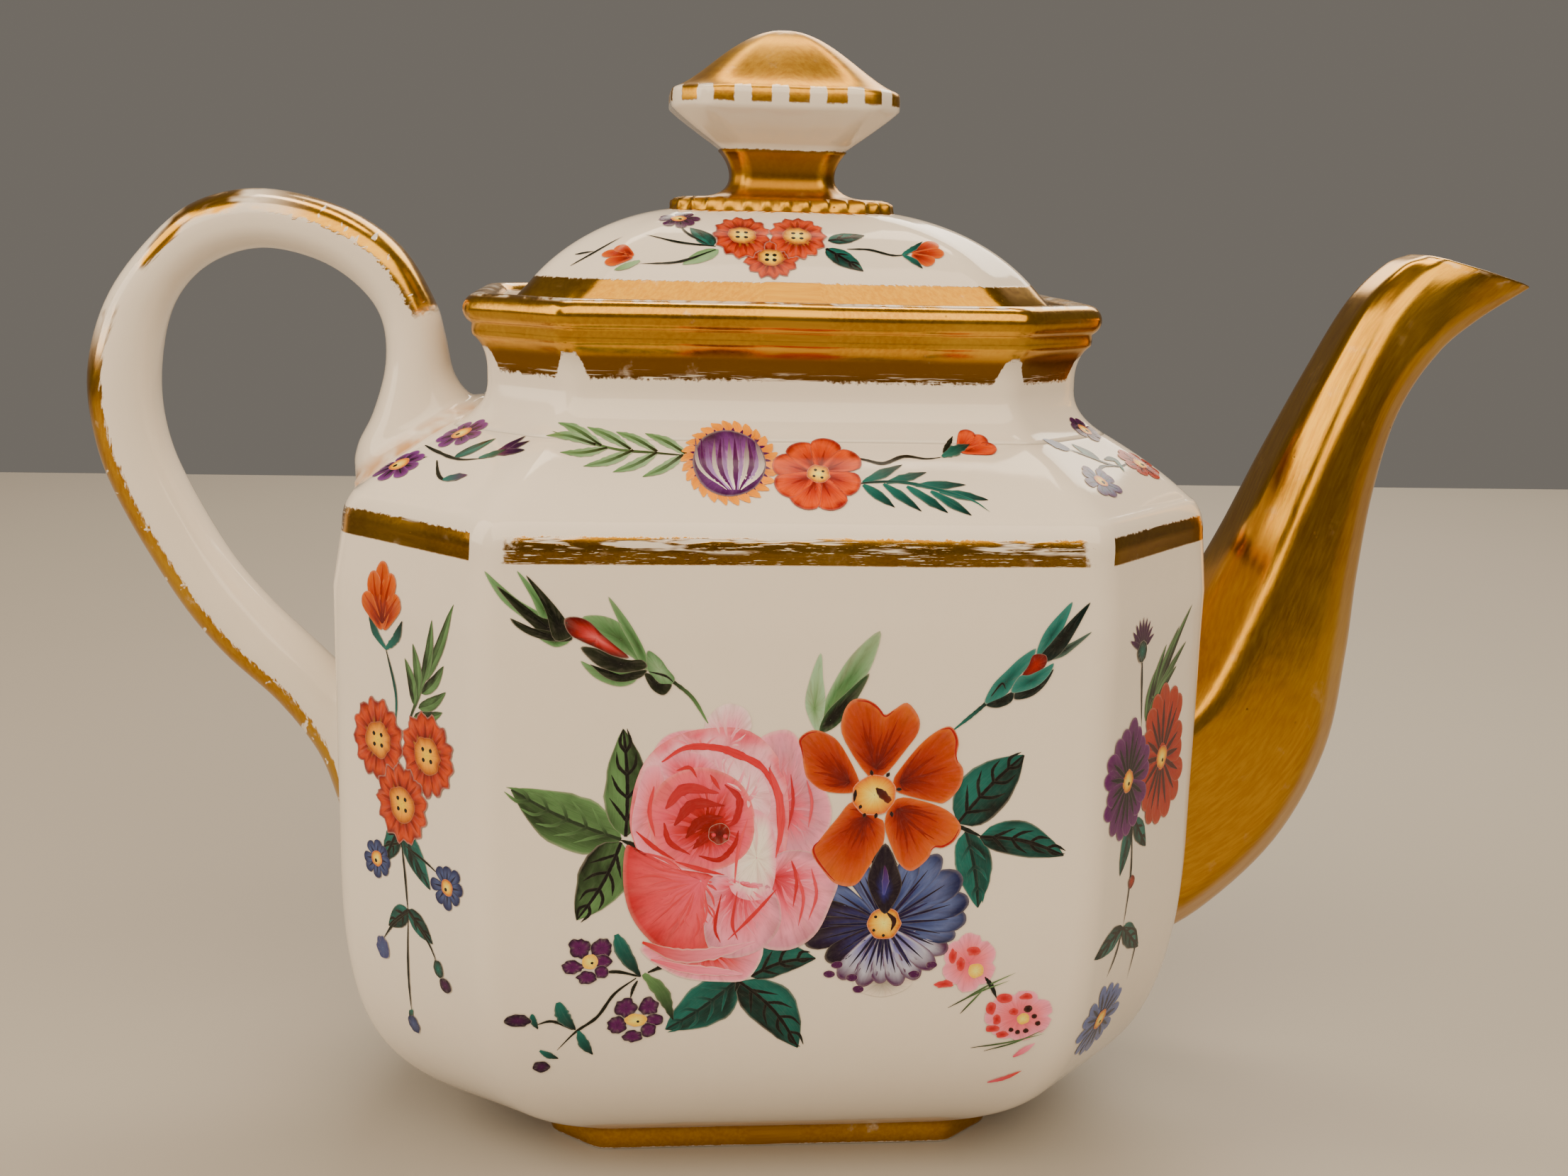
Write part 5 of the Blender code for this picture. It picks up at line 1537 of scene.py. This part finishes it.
# --- shoulder and lid -------------------------------------------------------------
def shoulder_spray(p):
    p.stroke([(-7.3, 6.7), (-10, 7), (-12.5, 7.3), (-15.9, 8.6), (-16.8, 9.2)], 0.25, OLIVE_DARK, 3,
             OLIVE)
    for root, tip in (((-13.4, 7.6), (-16.4, 9.9)), ((-11.4, 7.3), (-14.4, 9.4)),
                      ((-9.6, 7.1), (-12.4, 9.0)), ((-7.6, 6.9), (-10.4, 8.9)),
                      ((-13.0, 7.4), (-16.2, 6.9)), ((-11.2, 7.2), (-14.6, 5.6)),
                      ((-9.6, 7), (-12.6, 5.1)), ((-7.8, 6.8), (-10.6, 4.7)),
                      ((-13.8, 7.7), (-17.2, 8.8))):
        bow = 0.25 if tip[1] > root[1] else -0.25
        middle = ((root[0] + tip[0]) / 2, (root[1] + tip[1]) / 2 + bow)
        p.stroke([root, middle, tip], 0.85, MOSS, 2, OLIVE, (0.3, 0.05))
        p.stroke([root, middle, tip], 0.28, OLIVE_DARK, 3, OLIVE, (0.8, 0.05))
    for k in range(26):
        a = math.tau * k / 26
        tip, root = polar((-4.6, 6.2), 3.4, 3.9, a), polar((-4.6, 6.4), 2.0, 2.3, a)
        bend = (root[0] * 0.5 + tip[0] * 0.5 + 0.3 * math.sin(a),
                root[1] * 0.5 + tip[1] * 0.5 - 0.3 * math.cos(a))
        p.stroke([root, bend, tip], 0.9, AMBER if k % 3 else (214, 134, 50), 4, (220, 150, 70),
                 (0.6, 0.1))
        p.stroke([root, (root[0] + (tip[0] - root[0]) * 0.6, root[1] + (tip[1] - root[1]) * 0.6)], 0.3,
                 PURPLE, 5)
    p.petal([(-7.1, 6), (-6.4, 8.4), (-4.7, 9.2), (-2.9, 8.3), (-2.2, 6), (-3, 3.9), (-4.8, 3.1),
             (-6.4, 3.9)], (-4, 6.2), stops((0, (186, 152, 162)), (0.45, (138, 92, 126)),
                                            (1, (88, 42, 76))), 6, 0.2, 0.8)
    for k in range(13):
        x = -6.7 + 0.35 * k
        lean = (x + 4.6) * p.dice.uniform(0.6, 0.9)
        tone = ((226, 210, 202), (104, 52, 90), (176, 142, 164))[k % 3]
        p.stroke([(-4.4 + lean * 0.3, 3.6), (x, 5.6), (-4.6 + lean * 1.3, 8.5)],
                 p.dice.uniform(0.25, 0.45), tone, 7, PURPLE, (0.1, 0.1), 0.1)
    petal = stops((0, EMBER), (0.4, (172, 78, 6)), (0.85, (194, 102, 8)), (1, (146, 56, 8)))
    for spot in ((0.0, 8.0), (2.3, 8.5), (4.2, 6.9), (4.1, 4.0), (2.4, 2.1), (0.0, 2.2), (-1.5, 3.7),
                 (-1.6, 6.2)):
        p.ray((1.4, 5.1), spot, 2.1, petal, 7)
        p.stroke([(1.4, 5.1), ((1.4 + 2 * spot[0]) / 3, (5.1 + 2 * spot[1]) / 3)], 0.2, EMBER, 8,
                 (150, 60, 5), (0.8, 0.1), 0.0)
    p.heart((1.4, 5.1), 0.8, 9)
    p.stroke([(3.7, 6.8), (4.8, 6.5), (6, 6.2), (7.5, 6.9), (9, 6.7), (10.3, 6.9)], 0.3, INK, 3,
             TEAL_DARK)
    for spot in ((12.5, 9.5), (13.5, 8.9), (14.1, 7.9)):
        p.ray((11.4, 7.4), spot, 1.3, petal, 5)
    p.stroke([(10.2, 6.9), (11.2, 7.6), (12.3, 8.2)], 1.0, TEAL, 6, TEAL_DARK)
    p.stroke([(10.3, 7.3), (10.8, 8.2), (11.2, 9)], 0.4, TEAL_DARK, 6)
    p.stroke([(4, 4.3), (6, 4.5), (8, 4.3), (11.5, 3.1), (12.9, 2)], 0.28, TEAL_DARK, 3, TEAL)
    for root, tip in (((4.4, 4.4), (7.3, 6.1)), ((6, 4.4), (8.9, 5.4)), ((8, 4.2), (11.5, 4.3)),
                      ((4.4, 4.2), (6.4, 2.3)), ((5.8, 4.3), (8.2, 2.0)), ((7.4, 4.1), (10, 1.9)),
                      ((9, 3.7), (11.6, 1.7)), ((9.6, 3.7), (12.9, 3.0))):
        p.stroke([root, tip], 0.75, TEAL, 2, TEAL_DARK, (0.3, 0.05))


def shoulder_left(p):
    purple = stops((0, PURPLE_DARK), (0.5, PURPLE), (1, (130, 84, 118)))
    for path in ([(9.6, 6), (8, 5.6), (5.5, 5.2), (3.5, 5.7)], [(7, 4.8), (5.3, 3.4), (4, 3.4)],
                 [(9.4, 4), (8, 5)]):
        p.stroke(path, 0.25, OLIVE_DARK, 3, TEAL_DARK)
    star_flower(p, (8.1, 7.6), 1.6, purple, 8, 0.6)
    star_flower(p, (9.3, 3.9), 1.5, purple, 8, 0.6)
    for end in ((1.4, 7.8), (2.2, 8.2), (1.1, 6.9)):
        p.stroke([(3.2, 6.2), end], 0.7, PURPLE, 5, PURPLE_DARK)
    p.stroke([(4.1, 5.6), (3.2, 6.2), (2.6, 6.7)], 0.6, TEAL, 6, TEAL_DARK)
    p.stroke([(5, 3.3), (3.6, 4)], 0.7, TEAL, 5, PURPLE)
    p.leaf((6, 5.3), (4.6, 7.6), (0.5, 0.5), TEAL, TEAL_DARK, 2, 0)


def shoulder_right(p):
    for path in ([(3.3, 7.4), (4.4, 6.6), (6.2, 5.2), (8.6, 5.4)],
                 [(2.9, 4.6), (4.6, 5.4), (6.2, 5.2)]):
        p.stroke(path, 0.25, OLIVE_DARK, 3, TEAL_DARK)
    p.stroke([(3.3, 7.4), (2.4, 8), (1.5, 8.7)], 1.0, BLUE_DARK, 5, BLUE)
    p.leaf((5.2, 6), (4.3, 7.9), (0.5, 0.5), TEAL, TEAL_DARK, 2, 0)
    p.stroke([(5.8, 6), (6.8, 5.8), (6.3, 4.6)], 0.5, TEAL_DARK, 3, TEAL)
    star_flower(p, (2.9, 4.2), 1.5, stops((0, BLUE_DARK), (0.5, BLUE), (1, PURPLE)), 8, 0.5)
    star_flower(p, (8, 9), 1.3, stops((0, PURPLE_DARK), (1, PURPLE)), 7, 0.5)
    star_flower(p, (8.8, 5), 1.5, stops((0, EMBER), (1, ORANGE)), 8, 0.5)


def lid_spray(p):
    p.leaf((2.7, 4.6), (5.4, 5.5), (0.7, 0.7), TEAL, TEAL_DARK, 2, 2)
    p.leaf((2.5, 3.6), (5.1, 1.2), (0.8, 0.8), TEAL, TEAL_DARK, 2, 2)
    p.leaf((-5.6, 3.6), (-7.2, 6.0), (0.6, 0.8), TEAL, OLIVE_DARK, 2, 0)
    p.leaf((-5.2, 3.2), (-7.8, 1.5), (0.6, 0.6), MOSS, OLIVE, 2, 0)
    for path in ([(4, 3.6), (5.6, 3.6), (7.3, 3), (8.6, 3.2)], [(-5.4, 3.6), (-8, 4), (-10.4, 4.9)],
                 [(-5.4, 3.2), (-8, 1.8), (-10.8, 1.5)], [(-15.7, 3), (-14, 3.8), (-12, 5.2)],
                 [(-15.4, 4.6), (-14, 4)], [(-6, 3.8), (-7.4, 5.2), (-8, 6.6)]):
        p.stroke(path, 0.25, TEAL_DARK, 3, OLIVE_DARK)
    primula(p, (-1.5, 2.4), (2.0, 2.2), (0.9, 0.9), 4, (STRAW, YELLOW))
    primula(p, (-3.5, 5.1), (2.1, 2.9), (1.0, 1.1), 5, (STRAW, YELLOW))
    primula(p, (0.5, 5.1), (2.1, 2.9), (1.0, 1.1), 7, (STRAW, YELLOW))
    petal = stops((0, EMBER), (0.6, ORANGE), (1, AMBER))
    for tip in ((10.6, 4.6), (11, 3.4), (10.2, 2.2)):
        p.ray((8.6, 3.2), tip, 1.2, petal, 5)
    p.stroke([(8, 3.1), (8.8, 3.8), (9.6, 4.8)], 0.5, TEAL, 6, TEAL_DARK)
    p.stroke([(8, 3.1), (8.8, 2.4), (9.4, 1.6)], 0.5, TEAL, 6, TEAL_DARK)
    for tip in ((-13.4, 3.0), (-13.2, 1.6), (-12.4, 3.6)):
        p.ray((-11.2, 2.2), tip, 1.0, petal, 5)
    p.stroke([(-10.8, 1.8), (-11.8, 1.2), (-12.6, 0.8)], 0.6, MOSS, 6, OLIVE)
    star_flower(p, (-8, 7.5), 1.5, stops((0, PURPLE_DARK), (1, PURPLE)), 8, 0.55)


def shoulder_panel(x0, x1, mirrored):
    """The sloping front facet: u is x, v runs 0 to 10 from the arris to the neck."""
    low, high = ARRIS[1], NECK_FOOT[1]
    return Panel((x0, x1, 0, 10), (x0, -low, ARRIS_Z), (x1, -low, ARRIS_Z), (x0, -high, SHOULDER_TOP),
                 (x1, -high, SHOULDER_TOP), (0, -(SHOULDER_TOP - ARRIS_Z), low - high), mirrored)


def corner_panel(side, mirrored):
    """The sloping facet over a cut corner: u 0 at the front crease, 10 at the end."""
    def foot(plan, z):
        a, b, ca, cb, swell = plan
        return (side * (a - ca), -b, z), (side * (a + (swell if side < 0 else 0)), -(b - cb), z)

    low0, low1 = foot(ARRIS, ARRIS_Z)
    high0, high1 = foot(NECK_FOOT, SHOULDER_TOP)
    return Panel((0, 10, 0, 10), low0, low1, high0, high1, (side * 0.45, -0.42, 0.8), mirrored)


def cant_panel(side, mirrored):
    """An upright cut corner: u in mm from the front crease, v the height."""
    near = Vector((side * 21.4, -23.0, 0))
    far = Vector((-32.7, -11.4, 0)) if side < 0 else Vector((31.8, -11.4, 0))
    width = (far - near).length
    out = Vector((side * (far - near).y, -abs((far - near).x), 0))
    up = Vector((0, 0, 50))
    return Panel((0, width, 0, 50), near, far, near + up, far + up, out, mirrored)


def lid_panel(mirrored):
    low = between(LID_EDGE, LID_TOP, 18.25)[1]
    high = LID_TOP[1]
    return Panel((-18, 18, 0, 10), (-18, -low, 65.65), (18, -low, 65.65), (-18, -high, 70.6),
                 (18, -high, 70.6), (0, -4.95, 6.0), mirrored)


def tree_of(*skins):
    verts, faces = [], []
    for ob in skins:
        shift = len(verts)
        verts += [v.co.copy() for v in ob.data.vertices]
        faces += [tuple(i + shift for i in p.vertices) for p in ob.data.polygons]
    return BVHTree.FromPolygons(verts, faces)


def paint_all():
    material = enamel()
    pot_skin, lid_skin = tree_of(body, neck), tree_of(lid)
    for mirrored, place in ((False, "front"), (True, "back")):
        front = Panel((-22, 22, 0, 50), (-22, -23, 0), (22, -23, 0), (-22, -23, 50), (22, -23, 50),
                      (0, -1, 0), mirrored)
        for name, panel, surface, carrier, draw, seed in (
            (f"bouquet_{place}", front, pot_skin, "pot", bouquet, 11),
            (f"spray_{place}_left", cant_panel(-1, mirrored), pot_skin, "pot", left_cant, 23),
            (f"spray_{place}_right", cant_panel(1, mirrored), pot_skin, "pot", right_cant, 37),
            (f"shoulder_{place}", shoulder_panel(-22, 22, mirrored), pot_skin, "pot", shoulder_spray,
             41),
            (f"shoulder_{place}_left", corner_panel(-1, mirrored), pot_skin, "pot", shoulder_left, 53),
            (f"shoulder_{place}_right", corner_panel(1, mirrored), pot_skin, "pot", shoulder_right, 67),
            (f"lid_{place}", lid_panel(mirrored), lid_skin, "lid", lid_spray, 79),
        ):
            painting = Painting(name, panel, surface, seed + mirrored)
            draw(painting)
            painting.finish(carrier, "glazed_porcelain", material)


paint_all()


# --- floor, light and camera ------------------------------------------------------
def make_floor():
    mesh = bpy.data.meshes.new("floor")
    wide, near, far = 0.9, -0.42, 0.34
    mesh.from_pydata([(-wide, near, 0), (wide, near, 0), (wide, far, 0), (-wide, far, 0)], [],
                     [(0, 1, 2, 3)])
    ob = bpy.data.objects.new("floor", mesh)
    bpy.context.collection.objects.link(ob)
    shade = Shade("floor_paint")
    cloud = shade.noise(shade.place(), 9.0, 3.0)
    colour = shade.mix(cloud, rgba((0.35, 0.325, 0.29)), rgba((0.38, 0.355, 0.32)))
    mesh.materials.append(shade.finish({"Base Color": colour, "Roughness": 0.55}))


def area_light(name, location, target, size, power, colour):
    data = bpy.data.lights.new(name, "AREA")
    data.shape = "RECTANGLE"
    data.size, data.size_y = size
    data.energy = power
    data.color = colour
    ob = bpy.data.objects.new(name, data)
    ob.location = location
    ob.rotation_euler = (Vector(target) - Vector(location)).to_track_quat("-Z", "Y").to_euler()
    bpy.context.collection.objects.link(ob)


def make_camera():
    """The camera at the photo's place: low, a little to the handle's side, rolled a touch."""
    yaw, pitch, roll = math.radians(5.415), math.radians(11.686), math.radians(1.419)
    forward = Vector((math.sin(yaw) * math.cos(pitch), math.cos(yaw) * math.cos(pitch),
                      -math.sin(pitch)))
    right = Vector((math.cos(yaw), -math.sin(yaw), 0))
    up = right.cross(forward)
    side = right * math.cos(roll) + up * math.sin(roll)
    top = up * math.cos(roll) - right * math.sin(roll)
    data = bpy.data.cameras.new("camera")
    data.sensor_width = 36.0
    data.lens = 41.5
    data.clip_start = 0.005
    ob = bpy.data.objects.new("camera", data)
    place = Matrix((side, top, -forward)).transposed().to_4x4()
    place.translation = Vector((AXIS_X - 0.01233, -0.14063, BASE_Z + 0.0704))
    ob.matrix_world = place
    bpy.context.collection.objects.link(ob)
    bpy.context.scene.camera = ob


make_floor()
middle = Vector((AXIS_X, 0, 0.04))
area_light("top", (0.02, 0.12, 0.46), Vector((AXIS_X, 0, 0.05)), (0.30, 0.10), 0.9, (1.0, 0.81, 0.58))
area_light("front", (0.03, -0.36, 0.40), middle, (0.84, 0.44), 4.7, (1.0, 0.80, 0.56))
area_light("side", (-0.40, -0.10, 0.26), middle, (0.26, 0.38), 1.5, (1.0, 0.83, 0.62))
area_light("back", (0.16, 0.42, 0.36), middle, (0.44, 0.24), 1.9, (1.0, 0.88, 0.72))
world = bpy.data.worlds.new("world")
bpy.context.scene.world = world
world.use_nodes = True
world.node_tree.nodes["Background"].inputs["Color"].default_value = (0.40, 0.36, 0.31, 1)
world.node_tree.nodes["Background"].inputs["Strength"].default_value = 0.42
make_camera()
